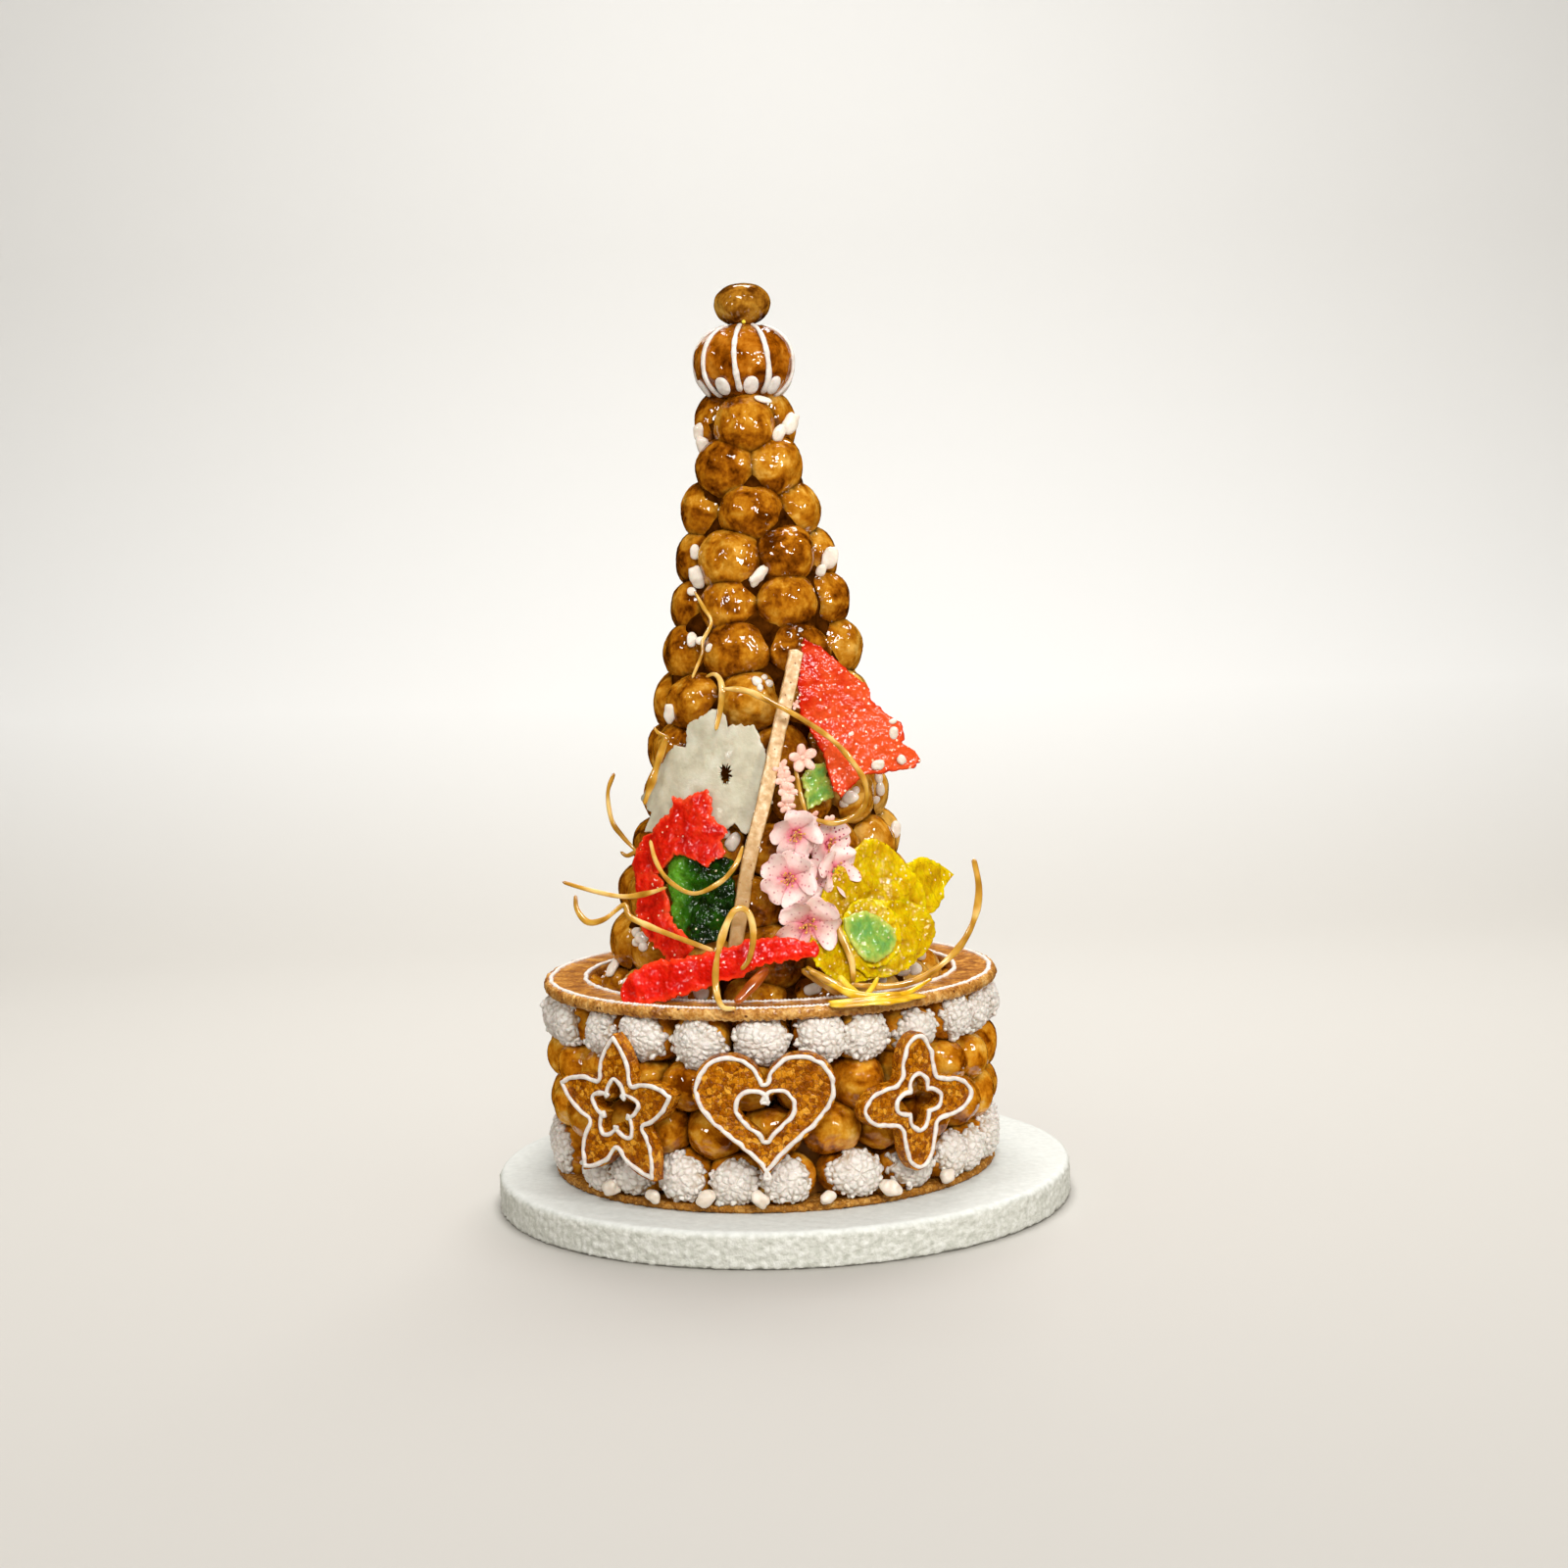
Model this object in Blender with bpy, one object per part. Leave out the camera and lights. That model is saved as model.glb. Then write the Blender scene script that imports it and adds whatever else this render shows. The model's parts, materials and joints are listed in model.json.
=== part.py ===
"""Croquembouche: a caramel cone of choux standing in a choux drum, with pulled-sugar decoration.

Metres, +Z up. The origin is the middle of the underside of the board.
Everything above the board hangs from an empty on the drum's axis, at the top of the board.
"""
import math

import bmesh
import bpy
import numpy as np
from mathutils import Matrix, Vector

# ---------------------------------------------------------------- driving dimensions
GAP = 0.0003                 # left between neighbouring solids

BOARD_RADIUS = 0.200         # 40 cm cake board
BOARD_THICK = 0.024
BOARD_SOFT_EDGE = 0.004
DRUM_SHIFT = -0.006          # the cake stands a little left of the board's middle

BASE_RADIUS = 0.1535         # nougatine disc under the drum
BASE_THICK = 0.005

DRUM_ROWS = 4
DRUM_PUFFS = 24
DRUM_OUTER = 0.157
DRUM_INNER = 0.1276
DRUM_ROW_PITCH = 0.0303
DRUM_CORE_RADIUS = 0.1258
DRUM_CORE_TOP = 0.1086

RIM_OUTER = 0.157
RIM_INNER = 0.127
RIM_TOP = 0.1337
RIM_THICK = 0.0068

TIER_COUNTS = (15, 14, 13, 12, 11, 10, 9, 7, 7, 6, 5, 4, 3)
TIER_RADII = (0.119, 0.1115, 0.1025, 0.0935, 0.085, 0.080, 0.075, 0.066, 0.060, 0.0545, 0.046, 0.040, 0.0355)
TIER_PHASES = (-6, 0, -9, 4, -12, 10, -6, -20, -25, -28, -4, -44, 2)   # degrees, first puff from the front
LOWEST_TIER = 0.1255         # height of the middle of the lowest tier
TIER_PITCH = 0.033
UPPER_PITCH = 0.0305
LOWER_TIERS = 9              # this many tiers lie a full pitch apart
LEAN = -0.006                # sideways lean of the tip
LEAN_FROM = 0.43
LEAN_TO = 0.51

PUFF_DEPTH = 0.019           # how far a puff bulges from the middle of its ring
CROWN_RADIUS = 0.0340
CROWN_HEIGHT = 0.0530
TOP_PUFF_RADIUS = 0.0197
TOP_PUFF_HEIGHT = 0.0270

PLAQUE_THICK = 0.009
PLAQUE_WIDTH = 0.092
PLAQUE_MIDDLE = 0.067        # height of a plaque's middle above the board
PLAQUE_STAND = 0.1585        # distance from the drum's axis to a plaque's back

STICK_TOP = (0.0240, -0.0770, 0.3600)
STICK_FOOT = (-0.0240, -0.1240, 0.1600)
STICK_WIDTH = 0.0075
STICK_THICK = 0.0045
FLAG_TURN = 12               # degrees the flag swings back from the front
SUGAR_THICK = 0.0025
STRAND_RADIUS = 0.0014

MM = 0.001
PINCH = 0.8                  # how deep the creases between puffs are
TOWER = None                 # the empty on the drum's axis, made in main


# ---------------------------------------------------------------- materials and objects
def finish(name, colour, roughness=0.4, metallic=0.0):
    """A Principled material in one colour."""
    material = bpy.data.materials.new(name)
    material.use_nodes = True
    shader = material.node_tree.nodes["Principled BSDF"]
    shader.inputs["Base Color"].default_value = (*colour, 1.0)
    shader.inputs["Roughness"].default_value = roughness
    shader.inputs["Metallic"].default_value = metallic
    return material


CARAMEL = (0.42, 0.17, 0.025)
NOUGATINE = (0.40, 0.16, 0.028)
ICING = (0.86, 0.84, 0.80)
RED_SUGAR = (0.72, 0.02, 0.015)
GREEN_SUGAR = (0.03, 0.20, 0.03)
PALE_GREEN = (0.16, 0.50, 0.16)
YELLOW_SUGAR = (0.75, 0.52, 0.01)
CREAM_SUGAR = (0.70, 0.68, 0.56)
GOLD_SUGAR = (0.66, 0.40, 0.08)
BROWN_SUGAR = (0.28, 0.06, 0.02)
BLOSSOM = (0.88, 0.62, 0.66)


def place(name, mesh, colour, roughness=0.4, smooth_angle=35):
    """Put a mesh on the tower empty under a node's name."""
    mesh.shade_smooth()
    mesh.set_sharp_from_angle(angle=math.radians(smooth_angle))
    node = bpy.data.objects.new(name, mesh)
    node.data.materials.append(finish(name + "_finish", colour, roughness))
    bpy.context.collection.objects.link(node)
    node.parent = TOWER
    return node


def mesh_of(name, points, faces):
    """A mesh with its faces turned outwards."""
    mesh = bpy.data.meshes.new(name)
    mesh.from_pydata([tuple(point) for point in points], [], faces)
    shape = bmesh.new()
    shape.from_mesh(mesh)
    bmesh.ops.recalc_face_normals(shape, faces=shape.faces)
    shape.to_mesh(mesh)
    shape.free()
    return mesh


def turned(name, profile, colour, steps=64, closed=False, roughness=0.4, centre=0.0):
    """Spin a profile of (radius, height) pairs about the axis x = centre."""
    shape = bmesh.new()
    corners = [shape.verts.new((radius, 0.0, height)) for radius, height in profile]
    pairs = list(zip(corners, corners[1:]))
    if closed:
        pairs.append((corners[-1], corners[0]))
    edges = [shape.edges.new(pair) for pair in pairs]
    bmesh.ops.spin(shape, geom=corners + edges, cent=(0, 0, 0), axis=(0, 0, 1), angle=math.tau,
                   steps=steps, use_merge=False)
    bmesh.ops.remove_doubles(shape, verts=shape.verts, dist=0.00001)
    bmesh.ops.recalc_face_normals(shape, faces=shape.faces)
    bmesh.ops.translate(shape, verts=shape.verts, vec=(centre, 0, 0))
    mesh = bpy.data.meshes.new(name)
    shape.to_mesh(mesh)
    shape.free()
    return place(name, mesh, colour, roughness)


def thicken(node, thickness):
    """Give a surface its thickness, outwards."""
    solid = node.modifiers.new("thickness", "SOLIDIFY")
    solid.thickness = thickness
    solid.offset = 1.0
    solid.use_rim = True
    return node


# ---------------------------------------------------------------- the cone's outline
def tier_height(index):
    """Height of the middle of a tier above the board."""
    lower = min(index, LOWER_TIERS - 1)
    return LOWEST_TIER + lower * TIER_PITCH + (index - lower) * UPPER_PITCH


TIER_HEIGHTS = [tier_height(index) for index in range(len(TIER_COUNTS))]


def lean(height):
    """Sideways shift of the cone's middle at a height."""
    share = min(max((height - LEAN_FROM) / (LEAN_TO - LEAN_FROM), 0.0), 1.0)
    return LEAN * share


def cone_radius(height):
    """Radius of the cone's outside at a height, straight between the tiers."""
    return float(np.interp(height, TIER_HEIGHTS, TIER_RADII))


# ---------------------------------------------------------------- rings of puffs
def puff_reach(side, rise):
    """Reach of a puff, 0 to 1, at side and rise from its middle, each -1 to 1."""
    return math.sqrt(max(1.0 - PINCH * (side * side + rise * rise), 0.02))


def lobed_ring(name, count, outer, height, tall, phase, inner=0.0, centre=0.0):
    """A tier of puffs joined side by side: a disc, or a ring round an inner radius."""
    columns = 3 if count > 7 else 4
    rises = (-1.0, -0.42, 0.42, 1.0)
    ring = outer - PUFF_DEPTH
    total = count * columns
    points = []
    for rise in rises:
        for step in range(total):
            side = 2.0 * (step % columns) / columns - 1.0
            turn = math.radians(phase) + math.tau * (step / total - 0.5 / count)
            radius = ring + PUFF_DEPTH * puff_reach(side, rise)
            points.append((centre + radius * math.sin(turn), -radius * math.cos(turn), height + rise * tall / 2))
    faces = []
    for level in range(len(rises) - 1):
        low = level * total
        for step in range(total):
            after = (step + 1) % total
            faces.append((low + step, low + after, low + total + after, low + total + step))
    top = (len(rises) - 1) * total
    if inner:
        close_ring(points, faces, count, columns, top, inner, height, tall, phase, centre)
    else:
        close_disc(points, faces, total, top, height, tall, centre)
    return place(name, mesh_of(name, points, faces), CARAMEL, 0.25, 60)


def close_disc(points, faces, total, top, height, tall, centre):
    """Close a tier below and above with a fan round its middle."""
    first = len(points)
    points.append((centre, 0.0, height - tall / 2))
    points.append((centre, 0.0, height + tall / 2))
    for step in range(total):
        after = (step + 1) % total
        faces.append((first, after, step))
        faces.append((first + 1, top + step, top + after))


def close_ring(points, faces, count, columns, top, inner, height, tall, phase, centre):
    """Close a row with flat ends and a round inner wall."""
    first = len(points)
    for end in (-1, 1):
        for puff in range(count):
            turn = math.radians(phase) + math.tau * (puff - 0.5) / count
            points.append((centre + inner * math.sin(turn), -inner * math.cos(turn), height + end * tall / 2))
    total = count * columns
    for puff in range(count):
        after = (puff + 1) % count
        outer_steps = [(puff * columns + step) % total for step in range(columns + 1)]
        faces.append([first + puff] + outer_steps + [first + after])
        faces.append([first + count + puff] + [top + step for step in outer_steps] + [first + count + after])
        faces.append((first + puff, first + after, first + count + after, first + count + puff))


def make_board():
    """The white board that everything stands on."""
    radius, soft = BOARD_RADIUS, BOARD_SOFT_EDGE
    low = -BOARD_THICK
    profile = [(0, low), (radius - 0.001, low), (radius, low + 0.001), (radius, -soft),
               (radius - soft, 0), (0, 0)]
    board = turned("board", profile, ICING, 56, roughness=0.8)
    board.location.x = -DRUM_SHIFT


def make_drum():
    """Base disc, four rows of puffs round a filled middle, and the flat rim on top."""
    base_top = BASE_THICK + GAP
    soft = 0.0012
    turned("base_disc", [(0, GAP), (BASE_RADIUS - soft, GAP), (BASE_RADIUS, GAP + soft),
                         (BASE_RADIUS, base_top - soft), (BASE_RADIUS - soft, base_top), (0, base_top)], NOUGATINE, 48)
    floor = base_top + GAP
    turned("drum_core", [(0, floor), (DRUM_CORE_RADIUS, floor), (DRUM_CORE_RADIUS, DRUM_CORE_TOP),
                         (0, DRUM_CORE_TOP)], CARAMEL, 36)
    for row in range(DRUM_ROWS):
        middle = floor + DRUM_ROW_PITCH * (row + 0.5)
        phase = 360 / DRUM_PUFFS * (0.5 if row % 2 == 0 else 0.0)
        lobed_ring(f"drum_row_{row + 1}", DRUM_PUFFS, DRUM_OUTER, middle, DRUM_ROW_PITCH - GAP, phase,
                   inner=DRUM_INNER)
    low = RIM_TOP - RIM_THICK
    round_edge = RIM_THICK * 0.3
    turned("rim_ring", [(RIM_INNER, low), (RIM_OUTER - round_edge, low), (RIM_OUTER, low + round_edge),
                        (RIM_OUTER, RIM_TOP - round_edge), (RIM_OUTER - round_edge, RIM_TOP),
                        (RIM_INNER, RIM_TOP)], NOUGATINE, 48, closed=True)


def make_cone():
    """Thirteen tiers of puffs, each a little narrower than the one below."""
    for index, count in enumerate(TIER_COUNTS):
        middle = TIER_HEIGHTS[index]
        below = TIER_PITCH if index < LOWER_TIERS else UPPER_PITCH
        above = TIER_PITCH if index + 1 < LOWER_TIERS else UPPER_PITCH
        low = middle - below / 2 + GAP / 2
        high = middle + above / 2 - GAP / 2
        lobed_ring(f"cone_tier_{index + 1:02d}", count, TIER_RADII[index], (low + high) / 2, high - low,
                   TIER_PHASES[index], centre=lean(middle))


def ball_profile(radius, low, tall, steps, flat):
    """Half outline of a round body, cut flat below and above at a share of its height."""
    angles = [math.asin(flat * (2 * step / steps - 1)) for step in range(steps + 1)]
    middle = low + tall / 2
    outline = [(radius * math.cos(angle), middle + tall / 2 * math.sin(angle) / flat) for angle in angles]
    return [(0, low)] + outline + [(0, low + tall)]


def make_crown():
    """The big round puff and the small one that stands on it."""
    low = TIER_HEIGHTS[-1] + UPPER_PITCH / 2 + GAP
    centre = lean(LEAN_TO) + 0.001
    turned("crown_ball", ball_profile(CROWN_RADIUS, low, CROWN_HEIGHT, 6, 0.93), CARAMEL, 16, centre=centre)
    low += CROWN_HEIGHT + GAP
    turned("top_puff", ball_profile(TOP_PUFF_RADIUS, low, TOP_PUFF_HEIGHT, 5, 0.9), CARAMEL, 12, centre=centre)


# ---------------------------------------------------------------- plaques on the drum
def star_outline(step, steps):
    """Five blunt points: the radius swings between its long and short values in straight runs."""
    turn = math.tau * step / steps
    swing = abs((turn * 5 / math.tau + 0.5) % 1.0 - 0.5) * 2
    radius = 0.56 - 0.29 * swing
    return radius * math.sin(turn), radius * math.cos(turn) - 0.02


def heart_outline(step, steps):
    """The usual heart curve, one unit wide."""
    turn = math.tau * step / steps
    across = 16 * math.sin(turn) ** 3
    up = 13 * math.cos(turn) - 5 * math.cos(2 * turn) - 2 * math.cos(3 * turn) - math.cos(4 * turn)
    return across / 32, up / 32 + 0.07


def clover_outline(step, steps):
    """Four round leaves."""
    turn = math.tau * step / steps
    radius = 0.37 + 0.12 * math.cos(4 * turn)
    return radius * math.sin(turn), radius * math.cos(turn)


def plaque(name, outline, steps, azimuth, opening):
    """A flat pierced shape that stands upright against the drum."""
    shape = bmesh.new()
    rings = []
    for size in (PLAQUE_WIDTH, PLAQUE_WIDTH * opening):
        spots = [outline(step, steps) for step in range(steps)]
        rings.append([shape.verts.new((x * size, 0.0, z * size)) for x, z in spots])
    for first in range(steps):
        after = (first + 1) % steps
        shape.faces.new((rings[0][first], rings[0][after], rings[1][after], rings[1][first]))
    grown = bmesh.ops.extrude_face_region(shape, geom=shape.faces[:])
    moved = [item for item in grown["geom"] if isinstance(item, bmesh.types.BMVert)]
    bmesh.ops.translate(shape, verts=moved, vec=(0, -PLAQUE_THICK, 0))
    bmesh.ops.recalc_face_normals(shape, faces=shape.faces)
    mesh = bpy.data.meshes.new(name)
    shape.to_mesh(mesh)
    shape.free()
    node = place(name, mesh, NOUGATINE, 0.45)
    turn = math.radians(azimuth)
    node.location = (PLAQUE_STAND * math.sin(turn), -PLAQUE_STAND * math.cos(turn), PLAQUE_MIDDLE)
    node.rotation_euler.z = turn
    return node


def make_plaques():
    """Star, heart and clover round the front of the drum."""
    plaque("plaque_star", star_outline, 20, -38, 0.36)
    plaque("plaque_heart", heart_outline, 28, -2, 0.36)
    plaque("plaque_clover", clover_outline, 32, 34, 0.36)


# ---------------------------------------------------------------- sugar sheets
def on_cone(azimuth, height, across, up, stand, flat):
    """A point of a sheet laid on the cone. flat 0 follows the cone, flat 1 stays in one plane."""
    level = height + up
    reach = cone_radius(level) + stand
    aside = math.atan2(across, reach)
    reach = reach / math.cos(flat * aside)
    turn = math.radians(azimuth) + aside
    return reach * math.sin(turn), -reach * math.cos(turn), level


def sheet(name, colour, outline, azimuth, height, stand, flat=0.5, thickness=SUGAR_THICK, middle=(0, 0)):
    """A sugar sheet on the cone: an outline in mm, filled by two rings and a middle point."""
    points = [on_cone(azimuth, height, middle[0] * MM, middle[1] * MM, stand, flat)]
    for share in (0.5, 1.0):
        for spot in outline:
            across, up = (centre + (edge - centre) * share for centre, edge in zip(middle, spot))
            points.append(on_cone(azimuth, height, across * MM, up * MM, stand, flat))
    count = len(outline)
    faces = []
    for first in range(count):
        after = (first + 1) % count
        faces.append((0, 1 + first, 1 + after))
        faces.append((1 + first, 1 + count + first, 1 + count + after, 1 + after))
    return thicken(place(name, sheet_mesh(name, points, faces), colour, 0.15), thickness)


def ribbon(name, colour, spine, azimuth, height, stand, flat=0.5, thickness=SUGAR_THICK):
    """A long sugar sheet: a spine of (across, up, half width) in mm, with three points across."""
    points = []
    for index, (across, up, half) in enumerate(spine):
        before = spine[max(index - 1, 0)]
        after = spine[min(index + 1, len(spine) - 1)]
        along = Vector((after[0] - before[0], after[1] - before[1])).normalized()
        for side in (-1, 0, 1):
            points.append(on_cone(azimuth, height, (across + along.y * side * half) * MM,
                                  (up - along.x * side * half) * MM, stand, flat))
    faces = []
    for row in range(len(spine) - 1):
        for column in (0, 1):
            corner = row * 3 + column
            faces.append((corner, corner + 1, corner + 4, corner + 3))
    return thicken(place(name, sheet_mesh(name, points, faces), colour, 0.15), thickness)


def sheet_mesh(name, points, faces):
    """An open surface whose faces look away from the cone's axis."""
    mesh = bpy.data.meshes.new(name)
    mesh.from_pydata(points, [], faces)
    shape = bmesh.new()
    shape.from_mesh(mesh)
    bmesh.ops.recalc_face_normals(shape, faces=shape.faces)
    shape.faces.ensure_lookup_table()
    middle = shape.faces[0].calc_center_median()
    if shape.faces[0].normal.dot(Vector((middle.x, middle.y, 0))) < 0:
        bmesh.ops.reverse_faces(shape, faces=shape.faces)
    shape.to_mesh(mesh)
    shape.free()
    return mesh


def make_sheets():
    """Poured sugar sheets that lean on the front of the cone."""
    sheet("sheet_cream", CREAM_SUGAR,
          [(7, 44), (13, 32), (32, 32), (38, 26), (44, 7), (50, -6), (45, -18), (31, -38), (20, -34), (-5, -36),
           (-50, -39), (-47, -26), (-58, -18), (-47, -6), (-28, 18), (-17, 18), (-16, 33)], -26, 0.279, 0.0035)
    sheet("sheet_dark_green", GREEN_SUGAR,
          [(-13, 36), (-23, 20), (-18, -6), (-18, -16), (-6, -28), (19, -31), (27, -4), (28, 20), (15, 27)],
          -26, 0.199, 0.0035)
    ribbon("sheet_red", RED_SUGAR,
           [(20, 52, 3), (16, 42, 13), (8, 27, 21), (-8, 14, 18), (-22, -2, 12), (-26, -19, 12), (-22, -31, 13),
            (-9, -44, 12), (2, -54, 11)], -34, 0.218, 0.0082)
    ribbon("sheet_red_strip", RED_SUGAR,
           [(-79, -10, 3), (-72, -10, 8), (-55, -8, 9), (-32, -3, 10), (-9, 5, 10), (14, 12, 9), (30, 15, 6),
            (40, 17, 2)], -10, 0.154, 0.0195, flat=0.6, thickness=0.005)
    sheet("sheet_yellow", YELLOW_SUGAR,
          [(5, 47), (20, 43), (34, 26), (43, 2), (42, -16), (34, -29), (20, -39), (-4, -41), (-34, -41), (-48, -33),
           (-54, -22), (-26, 3), (-12, 28)], 37, 0.186, 0.0090, flat=1.0)
    sheet("sheet_yellow_point", YELLOW_SUGAR,
          [(26, 13), (38, 15), (51, 11), (68, 0), (53, -9), (50, -17), (30, -20)], 48, 0.200, 0.0060, flat=1.0,
          middle=(42, -2))
    sheet("sheet_green_disc", PALE_GREEN,
          [(17 * math.sin(math.tau * step / 10), 17 * math.cos(math.tau * step / 10)) for step in range(10)],
          32, 0.171, 0.0150, flat=1.0)
    sheet("sheet_green_square", PALE_GREEN, [(-6, 7), (4, 14), (11, 14), (16, -9), (-4, -16)], 20, 0.270, 0.0040,
          middle=(4, 0))


def flag_frame():
    """Axes of the flag: across, up the stick, and the middle of the stick."""
    foot, top = Vector(STICK_FOOT), Vector(STICK_TOP)
    up = (top - foot).normalized()
    turn = math.radians(FLAG_TURN)
    across = Vector((math.cos(turn), math.sin(turn), 0))
    across = (across - up * across.dot(up)).normalized()
    return Matrix.Translation((foot + top) / 2) @ Matrix((across, up.cross(across), up)).transposed().to_4x4()


def make_flag():
    """The flat stick that leans on the cone, and the red sugar sheet at its top."""
    length = (Vector(STICK_TOP) - Vector(STICK_FOOT)).length
    shape = bmesh.new()
    size = Matrix.Diagonal((STICK_WIDTH, STICK_THICK, length, 1))
    bmesh.ops.create_cube(shape, size=1, matrix=size)
    mesh = bpy.data.meshes.new("flag_stick")
    shape.to_mesh(mesh)
    shape.free()
    stick = place("flag_stick", mesh, CREAM_SUGAR, 0.5)
    stick.matrix_local = flag_frame()
    edge = stick.modifiers.new("edge", "BEVEL")
    edge.width = 0.0008
    edge.segments = 1
    outline = [(5, 113), (18, 110), (34, 101), (54, 91), (55, 85), (69, 76), (80, 73), (83, 60), (97, 52), (94, 45),
               (61, 33), (49, 15), (31, 41), (11, 65), (5, 84)]
    middle = (44, 66)
    points = [(middle[0] * MM, 0, middle[1] * MM)]
    points += [(across * MM, 0, up * MM) for across, up in outline]
    count = len(outline)
    faces = [(0, 1 + first, 1 + (first + 1) % count) for first in range(count)]
    flag = place("sheet_flag", mesh_of("sheet_flag", points, faces), RED_SUGAR, 0.15)
    flag.matrix_local = flag_frame()
    solid = thicken(flag, SUGAR_THICK).modifiers["thickness"]
    solid.offset = 0.0


# ---------------------------------------------------------------- sugar strands and sticks
def smooth_path(knots, step):
    """Points every step along a Catmull-Rom curve through the knots."""
    knots = [Vector(knot) * MM for knot in knots]
    ends = [knots[0] * 2 - knots[1]] + knots + [knots[-1] * 2 - knots[-2]]
    fine = []
    for a, b, c, d in zip(ends, ends[1:], ends[2:], ends[3:]):
        for part in range(16):
            t = part / 16
            fine.append(0.5 * (2 * b + (c - a) * t + (2 * a - 5 * b + 4 * c - d) * t ** 2
                               + (3 * b - a - 3 * c + d) * t ** 3))
    fine.append(knots[-1])
    lengths = np.concatenate([[0], np.cumsum([(b - a).length for a, b in zip(fine, fine[1:])])])
    count = max(int(round(lengths[-1] / step)), 3)
    marks = np.linspace(0, lengths[-1], count + 1)
    table = np.array(fine)
    return np.stack([np.interp(marks, lengths, table[:, axis]) for axis in range(3)], axis=1)


def strand(name, knots, radius=STRAND_RADIUS, colour=GOLD_SUGAR, step=0.010):
    """A pulled sugar thread through the knots, given in mm."""
    path = smooth_path(knots, step)
    curve = bpy.data.curves.new(name, "CURVE")
    curve.dimensions = "3D"
    curve.bevel_depth = radius
    curve.bevel_resolution = 0
    curve.use_fill_caps = True
    spline = curve.splines.new("POLY")
    spline.points.add(len(path) - 1)
    for point, spot in zip(spline.points, path):
        point.co = (*spot, 1.0)
    node = bpy.data.objects.new(name, curve)
    curve.materials.append(finish(name + "_finish", colour, 0.2))
    bpy.context.collection.objects.link(node)
    node.parent = TOWER
    return node


def make_strands():
    """Loose threads and sticks of pulled sugar round the front of the cone."""
    strand("strand_bow", [(-19, -85, 336), (-9, -93, 334), (11, -98, 324), (29, -99, 313), (46, -99, 300),
                          (58, -99, 286), (66, -97, 272), (66, -95, 258), (57, -96, 249), (44, -101, 246),
                          (30, -104, 250)])
    strand("strand_hook", [(-46, -62, 342), (-36, -70, 346), (-28, -74, 343), (-26, -80, 332), (-28, -84, 320),
                           (-32, -88, 306)])
    strand("strand_left_arc", [(-102, -30, 278), (-107, -30, 264), (-105, -30, 249), (-99, -31, 236),
                               (-93, -33, 227)])
    strand("strand_left_long", [(-136, -86, 211), (-116, -90, 205), (-96, -94, 201), (-79, -97, 203),
                                (-66, -99, 207)])
    strand("strand_left_hook", [(-126, -106, 205), (-125, -108, 195), (-118, -110, 187), (-107, -112, 189),
                                (-97, -114, 195), (-90, -115, 191), (-78, -117, 184), (-60, -122, 175),
                                (-44, -126, 171)])
    strand("strand_swag", [(-78, -82, 236), (-73, -90, 221), (-64, -101, 208), (-52, -109, 203), (-38, -115, 205),
                           (-29, -116, 212)])
    strand("strand_loop", [(-20, -141, 157), (-13, -140, 170), (-13, -138, 186), (-18, -137, 195),
                           (-25, -138, 189), (-31, -142, 176), (-34, -146, 158), (-35, -149, 144), (-31, -152, 138),
                           (-24, -153, 137)])
    strand("strand_right_arc", [(137, -100, 220), (140, -100, 201), (137, -100, 181), (128, -101, 162),
                                (112, -104, 147), (93, -109, 139), (75, -114, 137), (58, -121, 139)])
    strand("stick_brown", [(-20, -150, 138), (-12, -143, 145), (-2, -134, 152)], 0.0032, BROWN_SUGAR)
    strand("stick_amber", [(25, -135, 155), (40, -134, 146), (52, -131, 139)], 0.0024, GOLD_SUGAR)


# ---------------------------------------------------------------- blossoms and sugar pebbles
def blossom(name, azimuth, height, stand, radius, phase):
    """Five joined petals, dished, laid on the cone with its middle towards it."""
    steps = 15
    points = [on_cone(azimuth, height, 0, 0, stand, 1.0)]
    for step in range(steps):
        turn = math.tau * step / steps
        reach = radius * (0.82 + 0.18 * math.cos(5 * (turn - math.radians(phase))))
        points.append(on_cone(azimuth, height, reach * math.sin(turn), reach * math.cos(turn),
                              stand + 0.0015, 1.0))
    faces = [(0, 1 + step, 1 + (step + 1) % steps) for step in range(steps)]
    return thicken(place(name, sheet_mesh(name, points, faces), BLOSSOM, 0.6), 0.0025)


def make_blossoms():
    """Six sugar blossoms in a bunch to the right of the stick."""
    blossom("blossom_1", 10.5, 0.240, 0.0135, 0.0180, 0)
    blossom("blossom_2", 7.4, 0.2125, 0.0190, 0.0190, 20)
    blossom("blossom_3", 23.5, 0.2145, 0.0135, 0.0170, 8)
    blossom("blossom_4", 25, 0.231, 0.0040, 0.0140, 30)
    blossom("blossom_5", 12, 0.1775, 0.0270, 0.0200, 36)
    blossom("blossom_6", 13.5, 0.2115, 0.0085, 0.0135, 0)


def make_pebbles():
    """Smooth sugar pebbles that lie on the base disc in the creases between puffs."""
    creases = 7
    half = 4.0 * MM
    for index in range(creases):
        turn = math.tau / DRUM_PUFFS * (index - creases // 2)
        reach = 0.1500
        shape = bmesh.new()
        bmesh.ops.create_icosphere(shape, subdivisions=1, radius=1.0)
        size = Matrix.Diagonal((half * 0.85, half * 0.75, half * 1.15, 1))
        bmesh.ops.transform(shape, matrix=size, verts=shape.verts)
        name = f"sugar_pebble_{index + 1}"
        mesh = bpy.data.meshes.new(name)
        shape.to_mesh(mesh)
        shape.free()
        node = place(name, mesh, ICING, 0.4, 80)
        node.location = (reach * math.sin(turn), -reach * math.cos(turn), BASE_THICK + 2 * GAP + half * 1.15)


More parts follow.
